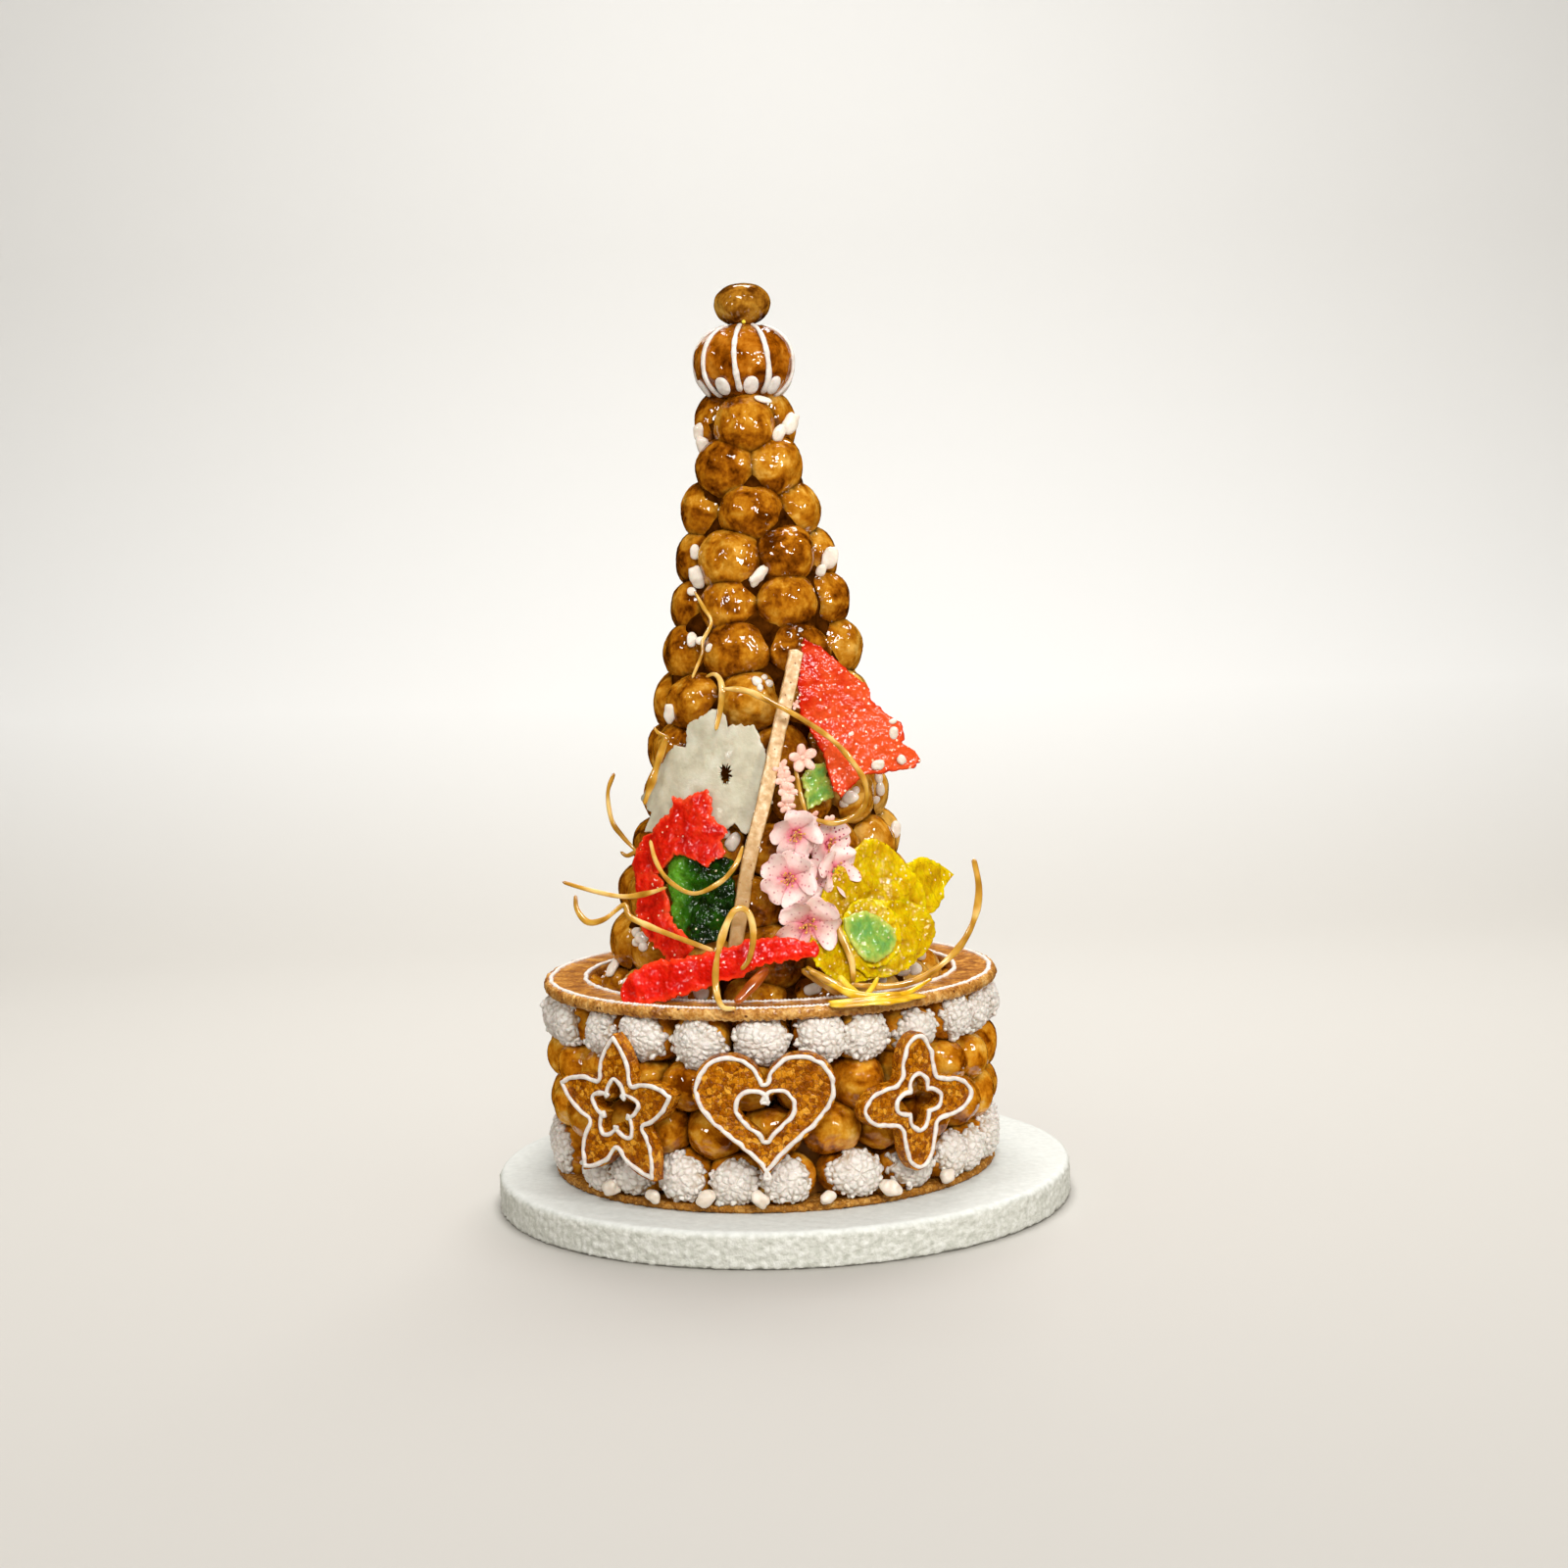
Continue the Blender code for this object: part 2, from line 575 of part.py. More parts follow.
def main():
    global TOWER
    for item in list(bpy.data.objects):
        bpy.data.objects.remove(item, do_unlink=True)
    TOWER = bpy.data.objects.new("tower", None)
    bpy.context.collection.objects.link(TOWER)
    TOWER.location = (DRUM_SHIFT, 0.0, BOARD_THICK)
    make_board()
    make_drum()
    make_cone()
    make_crown()
    make_plaques()
    make_sheets()
    make_flag()
    make_strands()
    make_blossoms()
    make_pebbles()


main()
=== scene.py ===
import json
import math
from functools import partial
import bpy
import numpy as np
from mathutils import Matrix, Vector

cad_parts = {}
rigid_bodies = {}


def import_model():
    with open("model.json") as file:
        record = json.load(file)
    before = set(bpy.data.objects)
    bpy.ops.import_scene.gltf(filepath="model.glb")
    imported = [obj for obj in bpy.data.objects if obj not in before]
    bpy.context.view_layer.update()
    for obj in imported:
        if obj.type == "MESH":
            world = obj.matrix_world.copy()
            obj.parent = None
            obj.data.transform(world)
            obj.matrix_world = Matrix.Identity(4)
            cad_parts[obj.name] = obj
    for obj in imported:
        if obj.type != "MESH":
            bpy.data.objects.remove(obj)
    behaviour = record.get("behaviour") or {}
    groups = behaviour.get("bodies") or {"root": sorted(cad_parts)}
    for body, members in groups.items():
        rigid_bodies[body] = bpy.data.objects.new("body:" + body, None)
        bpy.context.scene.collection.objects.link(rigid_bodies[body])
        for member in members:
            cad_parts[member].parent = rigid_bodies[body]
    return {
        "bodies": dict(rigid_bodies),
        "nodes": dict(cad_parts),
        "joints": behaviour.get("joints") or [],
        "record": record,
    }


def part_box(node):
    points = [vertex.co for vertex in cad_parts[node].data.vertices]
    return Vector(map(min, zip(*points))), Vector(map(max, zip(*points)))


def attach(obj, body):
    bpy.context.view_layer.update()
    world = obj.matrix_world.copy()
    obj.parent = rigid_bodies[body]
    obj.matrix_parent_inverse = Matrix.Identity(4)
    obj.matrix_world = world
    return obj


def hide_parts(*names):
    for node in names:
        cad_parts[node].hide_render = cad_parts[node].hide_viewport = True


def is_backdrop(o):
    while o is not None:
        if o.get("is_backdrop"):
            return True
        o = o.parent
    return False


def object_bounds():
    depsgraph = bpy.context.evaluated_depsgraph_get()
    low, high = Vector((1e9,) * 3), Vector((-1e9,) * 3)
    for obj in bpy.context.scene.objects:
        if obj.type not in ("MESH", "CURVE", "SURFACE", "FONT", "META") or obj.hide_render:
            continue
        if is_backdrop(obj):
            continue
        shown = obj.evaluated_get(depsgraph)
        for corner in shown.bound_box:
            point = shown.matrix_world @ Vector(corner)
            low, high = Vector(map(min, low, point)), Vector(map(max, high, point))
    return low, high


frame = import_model()
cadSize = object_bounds()
mm = 0.001


def box(node):
    # the low and high corners of a CAD node's box
    return (np.array(corner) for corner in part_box(node))


def corners(node):
    # every corner of a CAD node's mesh, one row each
    mesh = frame["nodes"][node].data
    found = np.zeros(len(mesh.vertices) * 3)
    mesh.vertices.foreach_get("co", found)
    return found.reshape(-1, 3)


boardLow, boardHigh = box("board")
coreLow, coreHigh = box("drum_core")
boardTop = boardHigh[2]
tower = np.array(((coreLow[0] + coreHigh[0]) / 2, 0.0, boardTop))   # foot of the cone's axis, on the board


# random relief

def swell(points, size, seed):
    # smooth relief, about -1 to 1: the mean of sine waves in random directions, each about size long
    draw = np.random.default_rng(seed)
    waves = 18
    directions = unit(draw.normal(size=(waves, 3)))
    turns = directions * (2 * np.pi / (size * draw.uniform(0.7, 1.6, (waves, 1))))
    return np.sin(points @ turns.T + draw.uniform(0, 2 * np.pi, waves)).sum(-1) * 0.75 * np.sqrt(2 / waves)


def grains(points, size, seed):
    # cell relief, 1 on a grain and 0 between grains: the gap between the distances to the nearest two
    # of scattered seeds, one seed in each cube of the size
    mixing = np.array(((12.99, 78.23, 37.72), (39.35, 11.14, 83.16), (73.16, 52.24, 9.15)))
    home = np.floor(points / size)
    nearest = np.full(points.shape[:-1], 9.0)
    second = nearest.copy()
    for step in np.stack(np.meshgrid(*[(-1, 0, 1)] * 3, indexing="ij"), -1).reshape(-1, 3):
        cell = home + step
        inside = np.abs(np.modf(np.sin(cell @ mixing.T + seed) * 4375.85)[0])
        away = np.linalg.norm(points / size - cell - inside, axis=-1)
        second = np.minimum(second, np.maximum(nearest, away))
        nearest = np.minimum(nearest, away)
    return np.clip((second - nearest) * 2.2, 0, 1)


# meshes from grids

def gridFaces(rows, columns, ring):
    # faces of a grid whose columns wrap; the rows of a ring wrap too, other rows end in a point each
    across = np.arange(columns)
    beside = (across + 1) % columns
    down = np.arange(rows if ring else rows - 3)[:, None] * columns
    below = (down + columns) % (rows * columns)
    quads = np.stack((down + across, down + beside, below + beside, below + across), -1).reshape(-1, 4)
    if ring:
        return quads, np.empty((0, 3), int), rows * columns
    last = 1 + (rows - 2) * columns
    low = last - columns
    fans = (np.stack((0 * across, 1 + beside, 1 + across), -1),
            np.stack((0 * across + last, low + across, low + beside), -1))
    return quads + 1, np.concatenate(fans), last + 1


def outwards(shapes, ring):
    # which shapes of a grid [shape, row, column, xyz] have to be turned: those with a volume below 0
    local = shapes - shapes.mean((1, 2), keepdims=True)
    beside = np.roll(local, -1, 2)
    below, corner = np.roll(local, -1, 1), np.roll(beside, -1, 1)
    parts = (np.cross(local, beside) * corner).sum(-1) + (np.cross(local, corner) * below).sum(-1)
    return parts[:, :None if ring else -1].sum((1, 2)) < 0


def makePiece(name, parts, finish, replaced=()):
    # one mesh from several grids; a part is its shapes, or (shapes, ring, marks), where a mark is a number
    # for each corner; a name with underscores is the CAD node that the piece replaces, and is made camelCase
    vertices, quads, triangles, marks = [], [], [], {}
    start = 0
    for part in parts:
        shapes, ring, ownMarks = part if isinstance(part, tuple) else (part, False, {})
        shapes = np.array(shapes, float).reshape((-1,) + np.shape(shapes)[-3:])
        count, rows, columns = shapes.shape[:3]
        turn = outwards(shapes, ring)
        fields = {"xyz": shapes}
        for mark, values in ownMarks.items():
            fields[mark] = np.array(np.broadcast_to(np.asarray(values, float), shapes.shape[:3]))[..., None]
        ownQuads, ownTriangles, size = gridFaces(rows, columns, ring)
        for mark, values in fields.items():
            values[turn] = values[turn][:, :, ::-1]
            flat = values.reshape(count, -1, values.shape[-1])
            if not ring:
                ends = [values[:, row].mean(1, keepdims=True) for row in (0, -1)]
                flat = np.concatenate((ends[0], flat[:, columns:-columns], ends[1]), 1)
            target = vertices if mark == "xyz" else marks.setdefault(mark, [])
            target.append(flat.reshape(-1, values.shape[-1]))
        offsets = start + np.arange(count)[:, None, None] * size
        quads.append((ownQuads[None] + offsets).reshape(-1, 4))
        triangles.append((ownTriangles[None] + offsets).reshape(-1, 3))
        start += count * size
    vertices, quads, triangles = (np.concatenate(found) for found in (vertices, quads, triangles))
    if "_" in name:
        words = name.split("_")
        replaced, name = [name], words[0] + "".join(word.capitalize() for word in words[1:])
    mesh = bpy.data.meshes.new(name)
    mesh.vertices.add(len(vertices))
    mesh.vertices.foreach_set("co", vertices.ravel())
    mesh.loops.add(quads.size + triangles.size)
    order = np.concatenate((quads.ravel(), triangles.ravel()))
    mesh.loops.foreach_set("vertex_index", order.astype(np.int32))
    mesh.polygons.add(len(quads) + len(triangles))
    firsts = np.concatenate((np.arange(len(quads)) * 4, quads.size + np.arange(len(triangles)) * 3))
    mesh.polygons.foreach_set("loop_start", firsts.astype(np.int32))
    mesh.update(calc_edges=True)
    mesh.validate()
    mesh.shade_smooth()
    for mark, values in marks.items():
        field = mesh.attributes.new(mark, "FLOAT", "POINT")
        field.data.foreach_set("value", np.concatenate(values).ravel())
    mesh.materials.append(finish)
    piece = bpy.data.objects.new(name, mesh)
    bpy.context.scene.collection.objects.link(piece)
    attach(piece, "root")
    if replaced:
        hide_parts(*replaced)
    return piece


# grids

def unit(vectors):
    # each vector over its own length
    return vectors / np.maximum(np.linalg.norm(vectors, axis=-1, keepdims=True), 1e-12)


def roundTurn(count):
    # a full turn in equal steps, in radians
    return np.linspace(0, 2 * np.pi, count, endpoint=False)


def squared(wave, power):
    # a wave made boxier: its size raised to a power below 1, its sign kept
    return np.sign(wave) * np.abs(wave) ** power


def facing(azimuth, tilt=0.0, roll=0.0):
    # three axes [side, up, out] of things that face away from the tower's axis at an azimuth, tilted up
    # and rolled about their out axis; angles in radians, one row of axes for each
    azimuth, tilt, roll = np.broadcast_arrays(*(np.asarray(angle, float) for angle in (azimuth, tilt, roll)))
    flat = np.stack((np.sin(azimuth), -np.cos(azimuth), 0 * azimuth), -1)
    side = np.stack((np.cos(azimuth), np.sin(azimuth), 0 * azimuth), -1)
    out = flat * np.cos(tilt)[..., None] + np.array((0, 0, 1.0)) * np.sin(tilt)[..., None]
    turned = side * np.cos(roll)[..., None] + np.cross(out, side) * np.sin(roll)[..., None]
    return np.stack((turned, np.cross(out, turned), out), -2)


def onBalls(ways, centres, axes, halves, fullness, relief):
    # round bodies: in each direction the point where |x|^p + |y|^p + |z|^p = 1, stretched by the three
    # half sizes along the axes, and pushed along itself by a relief, a share of its distance
    ways = ways / (np.abs(ways) ** fullness).sum(-1, keepdims=True) ** (1 / fullness)
    centres, halves = (np.asarray(values, float)[:, None] for values in (centres, halves))
    points = np.einsum("nmj,njk->nmk", ways * halves, axes)
    return points * (1 + relief(points + centres))[..., None] + centres


def noRelief(points):
    # 0 everywhere
    return 0 * points[..., 0]


def ballPoints(centres, axes, halves, rows, columns, fullness=2.2, relief=noRelief):
    # closed grids of round bodies, from the pole on each out axis to the pole behind
    down, turn = np.linspace(0, np.pi, rows)[:, None], roundTurn(columns)[None]
    ways = np.stack((np.sin(down) * np.cos(turn), np.sin(down) * np.sin(turn), np.cos(down) + 0 * turn), -1)
    points = onBalls(ways.reshape(1, -1, 3), centres, axes, halves, fullness, relief)
    return points.reshape(-1, rows, columns, 3)


def evenly(points, count, endpoint=True):
    # points at even distances along a line of points
    lengths = np.concatenate(((0,), np.cumsum(np.linalg.norm(np.diff(points, axis=0), axis=1))))
    marks = np.linspace(0, lengths[-1], count, endpoint=endpoint)
    return np.stack([np.interp(marks, lengths, values) for values in points.T], -1)


def evenOutline(points, count):
    # the same round a closed outline
    return evenly(np.concatenate((points, points[:1])), count, endpoint=False)


def throughKnots(knots, count):
    # evenly spaced points along the Catmull-Rom curve through the knots
    ends = np.concatenate((2 * knots[:1] - knots[1:2], knots, 2 * knots[-1:] - knots[-2:-1]))
    place = np.linspace(0, len(knots) - 1, 40 * len(knots))
    first = np.minimum(place.astype(int), len(knots) - 2)
    t = (place - first)[:, None]
    a, b, c, d = (ends[first + step] for step in range(4))
    curve = 2 * b + (c - a) * t + (2 * a - 5 * b + 4 * c - d) * t ** 2 + (3 * b - a - 3 * c + d) * t ** 3
    return evenly(0.5 * curve, count)


def threadPoints(path, halfWide, halfThick, columns=10, broadside=(0, -1, 0), closed=False, upright=False):
    # a thread: round each point of the path an ellipse, halfThick towards broadside and halfWide across it;
    # an upright one keeps broadside even where it isn't square to the path
    forward = np.roll(path, -1, 0) - np.roll(path, 1, 0) if closed else np.gradient(path, axis=0)
    forward = unit(forward)
    across = unit(np.cross(forward, np.asarray(broadside, float)))
    wide, deep = (np.broadcast_to(half, len(path))[:, None, None] for half in (halfWide, halfThick))
    turn = roundTurn(columns)[None, :, None]
    thick = broadside if upright else np.cross(across, forward)
    return path[:, None] + across[:, None] * wide * np.cos(turn) + thick[:, None] * deep * np.sin(turn)


def roundEnds(count, share):
    # 0 at both ends of a row of count, rising along a quarter circle to 1 within that share of the length
    place = np.linspace(0, 1, count)
    return np.sqrt(1 - (1 - np.clip(np.minimum(place, 1 - place) / share, 0, 1)) ** 2)


def turnedPoints(profile, columns, relief):
    # a profile of (radius, height above the board) spun round the tower's axis; the relief pushes each
    # point out along the profile's normal
    along = np.gradient(profile, axis=0)
    normal = unit(np.stack((-along[:, 1], along[:, 0]), -1))
    turn = roundTurn(columns)

    def spun(pairs):
        # (radius, height) at each turn: across is radius times sine, forwards radius times cosine
        radius, height = pairs[:, :1] + 0 * turn, pairs[:, 1:] + 0 * turn
        return np.stack((radius * np.sin(turn), -radius * np.cos(turn), height), -1)

    points = spun(profile) + tower
    return points + spun(normal) * relief(points)[..., None]


def alongProfile(spots, step):
    # a profile resampled about every step, keeping its corners
    def parts(a, b):
        # how many steps fit between two corners
        return max(int(np.ceil(np.linalg.norm(np.subtract(b, a)) / step)), 1)

    found = [np.linspace(a, b, parts(a, b), endpoint=False) for a, b in zip(spots[:-1], spots[1:])]
    return np.concatenate(found + [np.array(spots[-1:], float)])


# materials: pattern sizes are in metres, and 1 over a size is a node's scale

def linear(hexColour):
    # an sRGB hex colour as linear red, green, blue and alpha
    parts = [int(hexColour[place:place + 2], 16) / 255 for place in (1, 3, 5)]
    return [part / 12.92 if part <= 0.04045 else ((part + 0.055) / 1.055) ** 2.4 for part in parts] + [1.0]


def addNode(tree, kind, inputs=(), stops=(), **settings):
    # adds a node; each input is a hex colour, a number, a socket, or a node whose first output is linked
    made = tree.nodes.new("ShaderNode" + kind)
    for setting, value in settings.items():
        setattr(made, setting, value)
    inOrder = [socket for socket in made.inputs if socket.enabled]
    for name, value in inputs.items() if isinstance(inputs, dict) else zip(inOrder, inputs):
        socket = made.inputs[name] if isinstance(name, str) else name
        if isinstance(value, bpy.types.Node):
            value = next(found for found in value.outputs if found.enabled)
        if isinstance(value, bpy.types.NodeSocket):
            tree.links.new(value, socket)
        else:
            socket.default_value = linear(value) if isinstance(value, str) else value
    for place, colour in stops[1:-1]:
        made.color_ramp.elements.new(place)
    for element, (place, colour) in zip(made.color_ramp.elements if stops else (), stops):
        element.position, element.color = place, linear(colour)
    return made


def startMaterial(name, *marks):
    # an empty material: what adds its nodes, its Object coordinates, what ends it, and the marks it reads
    made = bpy.data.materials.new(name)
    made.use_nodes = True
    made.node_tree.nodes.clear()
    add = partial(addNode, made.node_tree)

    def end(sockets):
        add("OutputMaterial", {"Surface": add("BsdfPrincipled", sockets)})
        return made

    read = [add("Attribute", attribute_name=mark).outputs["Fac"] for mark in marks]
    return add, add("TexCoord").outputs["Object"], end, *read


def weighted(add, start, *patterns):
    # the tone of a place: start, plus each pattern times its weight, one after the other
    for pattern, weight in patterns:
        start = add("Math", (pattern, weight, start), operation="MULTIPLY_ADD")
    return start


def scatteredDots(add, place, spacing, size, share):
    # 1 inside round dots of that size, round a share of seeds that lie a spacing apart
    seeds = add("TexVoronoi", (place, 1 / spacing))
    near = add("Math", (seeds.outputs["Distance"], size / spacing / 2), operation="LESS_THAN")
    chosen = add("Math", (add("SeparateColor", (seeds.outputs["Color"],)), share), operation="LESS_THAN")
    return add("Math", (near, chosen), operation="MULTIPLY")


def caramelledChoux(name, stops):
    # choux pastry dipped in cooked caramel: a smooth mottled crust under a clear amber skin, mirror bright,
    # whose small ripples break each reflection into specks; where choux touch, painted shade darkens its
    # colour
    add, place, end, bake, crease = startMaterial(name, "bake", "crease")
    patches = add("TexNoise", {"Vector": place, "Scale": 1 / 0.014, "Detail": 2, "Distortion": 0.6})
    specks = add("TexNoise", (place, 1 / 0.0032, 4, 0.7))
    # the bake mark is each choux's own random tone and, on the cone, painted light that makes the right side
    # paler
    tone = weighted(add, -0.29, (bake, 0.10), (patches, 1.05), (specks, 0.50))
    wide, narrow = (add("TexNoise", (place, 1 / size, 0)) for size in (0.0085, 0.0036))
    ripples = add("Math", (narrow, 0.28, wide), operation="MULTIPLY_ADD")
    skin = add("Bump", {"Height": ripples, "Distance": 0.0026})
    # painted shade: the crease mark mixes the colour towards near black where the choux touch
    colour = add("Mix", (crease, add("ValToRGB", (tone,), stops), "#2A0E00"), data_type="RGBA")
    return end({"Base Color": colour, "Normal": skin, "Coat Normal": skin, "Roughness": 0.5,
                "Specular IOR Level": 0.0, "Coat Weight": 1.0, "Coat Roughness": 0.03, "Coat IOR": 1.55})


def nougatine(name, stops, chip, gloss):
    # chopped almonds set in caramel and rolled flat: golden flakes with darker amber between them, under a
    # thin gloss
    add, place, end = startMaterial(name)
    warp = add("TexNoise", (place, 1 / 0.0035, 2)).outputs["Color"]
    bent = add("VectorMath", (warp, (0.0045,) * 3, place), operation="MULTIPLY_ADD")
    own = add("SeparateColor", (add("TexVoronoi", (bent, 1 / chip)).outputs["Color"],))
    edges = add("TexVoronoi", (bent, 1 / chip), feature="DISTANCE_TO_EDGE")
    fine = add("TexNoise", (place, 1 / 0.0012, 2))
    tone = weighted(add, -0.12, (add("TexNoise", (place, 1 / 0.008, 2)), 0.45), (fine, 0.35), (own, 0.35))
    gap = add("Math", (edges, -7.0, 1.0), operation="MULTIPLY_ADD", use_clamp=True)
    shade = add("Math", (gap, own.outputs[1]), operation="MULTIPLY")
    relief = add("Math", (gap, -0.5, fine), operation="MULTIPLY_ADD")
    skin = add("Bump", {"Height": relief, "Distance": 0.0005})
    colour = add("Mix", (shade, add("ValToRGB", (tone,), stops), stops[0][1]), data_type="RGBA")
    return end({"Base Color": colour, "Normal": skin, "Coat Normal": skin, "Roughness": 0.5,
                "Specular IOR Level": 0.0, "Coat Weight": gloss, "Coat Roughness": 0.1})


def dullSugar(name, stops, patch, grain, depth=0.0002, detail=3, **sockets):
    # sugar that scatters light: nibs, royal icing or paste, matt or with a faint bloom; patch and grain are
    # the sizes of its cloudy tones and of its surface grain
    add, place, end = startMaterial(name)
    clouds, grit = (add("TexNoise", (place, 1 / size, detail)) for size in (patch, grain))
    return end({"Base Color": add("ValToRGB", (clouds,), stops),
                "Normal": add("Bump", {"Height": grit, "Distance": depth}),
                "Roughness": 0.5, "Coat Roughness": 0.1, "Subsurface Weight": 0.15,
                "Subsurface Scale": 0.0025} | sockets)


def pearlSugarCrust():
    # pearl sugar stuck on with caramel: white crystals, a little see-through; the brown in the cracks between
    # them is partly the caramel showing and partly painted shade, and the raised crystals are painted paler
    add, place, end, rise = startMaterial("pearlSugar", "rise")
    grit = add("TexNoise", (place, 1 / 0.0009, 3))
    # painted shade and light: the rise mark takes the colour to brown low between crystals and to white on
    # them
    tone = weighted(add, -0.45, (add("TexNoise", (place, 1 / 0.0035, 3)), 0.9), (rise, 1.0))
    stops = ((0.05, "#8E5E2C"), (0.3, "#B29A7E"), (0.55, "#C2B6A8"), (0.95, "#DCD4CA"))
    return end({"Base Color": add("ValToRGB", (tone,), stops),
                "Normal": add("Bump", {"Height": grit, "Distance": 0.0004}),
                "Roughness": 0.5, "Coat Weight": 0.3, "Coat Roughness": 0.1,
                "Subsurface Weight": 0.1, "Subsurface Scale": 0.0015})


def pouredSugar(name, stops, clear, bubbles, specks=None, glow=0.0, mottled=0.55, wet=0.6, paler=0.30):
    # poured sugar glass, coloured right through: wet-looking and partly see-through, paler where it is thin;
    # its skin rolls gently and small raised bubbles each catch the light; pale dots are partly bubbles in the
    # sugar and partly painted glints; specks colours a few burnt ones and the seams where the sugar set in
    # patches
    add, place, end, thin = startMaterial(name, "thin")
    clouds, fine = add("TexNoise", (place, 1 / 0.011, 2)), add("TexNoise", (place, 1 / 0.0028))
    tone = weighted(add, 0.41 - mottled / 2, (thin, paler), (clouds, mottled), (fine, 0.18))
    # painted highlights: pale dots, partly bubbles in the sugar and partly painted glints
    paleBubblesAndGlints = add("Math", (scatteredDots(add, place, 0.0036, 0.0015, bubbles), 0.8), operation="MULTIPLY")
    colour = add("Mix", (paleBubblesAndGlints, add("ValToRGB", (tone,), stops), "#FFE8C0"), data_type="RGBA")
    if specks:
        warp = add("TexNoise", (place, 1 / 0.004, 2)).outputs["Color"]
        bent = add("VectorMath", (warp, (0.005,) * 3, place), operation="MULTIPLY_ADD")
        seams = add("TexVoronoi", (bent, 1 / 0.014), feature="DISTANCE_TO_EDGE")
        seam = add("Math", (seams, -10.0, 0.42), operation="MULTIPLY_ADD", use_clamp=True)
        for burnt in (scatteredDots(add, place, 0.0065, 0.0013, 0.5), seam):
            colour = add("Mix", (burnt, colour, specks), data_type="RGBA")
    beads = add("TexVoronoi", (place, 1 / 0.0023), feature="SMOOTH_F1")
    rolling = add("TexNoise", (place, 1 / 0.0042, 0))
    ripples = add("Math", (beads, -0.42, rolling), operation="MULTIPLY_ADD")
    skin = add("Bump", {"Height": ripples, "Distance": 0.0014})
    return end({"Base Color": colour, "Normal": skin, "Coat Normal": skin, "Roughness": 0.25, "IOR": 1.45,
                "Specular IOR Level": 0.1, "Transmission Weight": clear, "Coat Weight": wet,
                "Coat Roughness": 0.03, "Subsurface Weight": glow, "Subsurface Scale": 0.003})


def pulledSugar(name, stops):
    # pulled sugar: satin glass, streaked where it was drawn out
    add, place, end = startMaterial(name)
    fine = add("TexNoise", (place, 1 / 0.004, 0))
    return end({"Base Color": add("ValToRGB", (add("TexNoise", (place, 1 / 0.013, 1)),), stops),
                "Normal": add("Bump", {"Height": fine, "Distance": 0.0003}),
                "Roughness": 0.3, "Transmission Weight": 0.15, "Specular IOR Level": 0.2, "Coat Weight": 1.0,
                "Coat Roughness": 0.04, "Coat IOR": 1.6, "Subsurface Weight": 0.2, "Subsurface Scale": 0.002})


def stickBiscuit():
    # a baked wafer stick: a pale straw face with brown specks, its edges caught by the heat and amber
    add, place, end, edge = startMaterial("stickBiscuit", "edge")
    grain = add("TexNoise", (place, 1 / 0.004, 3))
    base = add("ValToRGB", (grain,), ((0.3, "#B48850"), (0.5, "#CEA672"), (0.68, "#E4CAA2")))
    browned = add("Mix", (edge, base, "#A07636"), data_type="RGBA")
    flecks = scatteredDots(add, place, 0.0042, 0.0013, 0.4)
    return end({"Base Color": add("Mix", (flecks, browned, "#8E5A22"), data_type="RGBA"),
                "Normal": add("Bump", {"Height": grain, "Distance": 0.0004}), "Roughness": 0.4,
                "Coat Weight": 0.5, "Coat Roughness": 0.12,
                "Subsurface Weight": 0.1, "Subsurface Scale": 0.002})


def petalPaste():
    # sugar-paste petals: soft matt paste, dusted pink from the throat outwards, some freckled; each petal
    # brings its own marks, along and freckle
    add, place, end, along, freckle = startMaterial("petalPaste", "along", "freckle")
    cloud = add("TexNoise", (place, 1 / 0.003))
    dust = ((0.0, "#C43054"), (0.16, "#E27C8C"), (0.36, "#E4B2AC"), (0.7, "#EAD2C8"), (1.0, "#E0AEA8"))
    base = add("ValToRGB", (weighted(add, -0.17, (cloud, 0.35), (along, 1.0)),), dust)
    spots = add("Math", (scatteredDots(add, place, 0.0026, 0.0015, 0.5), freckle), operation="MULTIPLY")
    return end({"Base Color": add("Mix", (spots, base, "#A8284C"), data_type="RGBA"),
                "Normal": add("Bump", {"Height": cloud, "Distance": 0.0003}),
                "Roughness": 0.5, "Subsurface Weight": 0.1, "Subsurface Scale": 0.001})


def boardIcing():
    # set royal icing on a drum board: a smooth satin white top, and a side left rough, greyer in its pits
    add, place, end, side = startMaterial("boardIcing", "side")
    pits, grit = (add("TexNoise", (place, 1 / size, 3)) for size in (0.0042, 0.0016))
    rough = add("ValToRGB", (pits,), ((0.34, "#B8B8AC"), (0.5, "#C6C5BA"), (0.64, "#D2D1C8")))
    smooth = add("ValToRGB", (pits,), ((0.3, "#C5C6C0"), (0.7, "#CFD0CA")))
    uneven = add("Math", (side, 0.85, 0.15), operation="MULTIPLY_ADD")
    return end({"Base Color": add("Mix", (side, smooth, rough), data_type="RGBA"),
                "Normal": add("Bump", {"Height": grit, "Strength": uneven, "Distance": 0.0006}),
                "Roughness": 0.7, "Specular IOR Level": 0.2})


def rimNougatine():
    # rolled nougatine: a smooth amber-brown top streaked by the pin, and a paler broken edge that shows the
    # ground almonds
    add, place, end, edge = startMaterial("rimNougatine", "edge")
    small = add("TexNoise", (place, 1 / 0.0022, 3))
    tone = weighted(add, -0.25, (small, 0.5), (add("TexNoise", (place, 1 / 0.012, 5, 0.65)), 1.0))
    top = add("ValToRGB", (tone,), ((0.3, "#7E4404"), (0.5, "#B47020"), (0.7, "#E0A040")))
    crumb = add("ValToRGB", (tone,), ((0.3, "#7C420C"), (0.48, "#B2782E"), (0.7, "#DEB068")))
    flecks = scatteredDots(add, place, 0.006, 0.0022, 0.35)
    crumb = add("Mix", (flecks, crumb, "#6A3C14"), data_type="RGBA")
    return end({"Base Color": add("Mix", (edge, top, crumb), data_type="RGBA"),
                "Normal": add("Bump", {"Height": small, "Distance": 0.0006}),
                "Roughness": 0.5, "Specular IOR Level": 0.2, "Coat Weight": 0.5, "Coat Roughness": 0.12})


# board and base disc

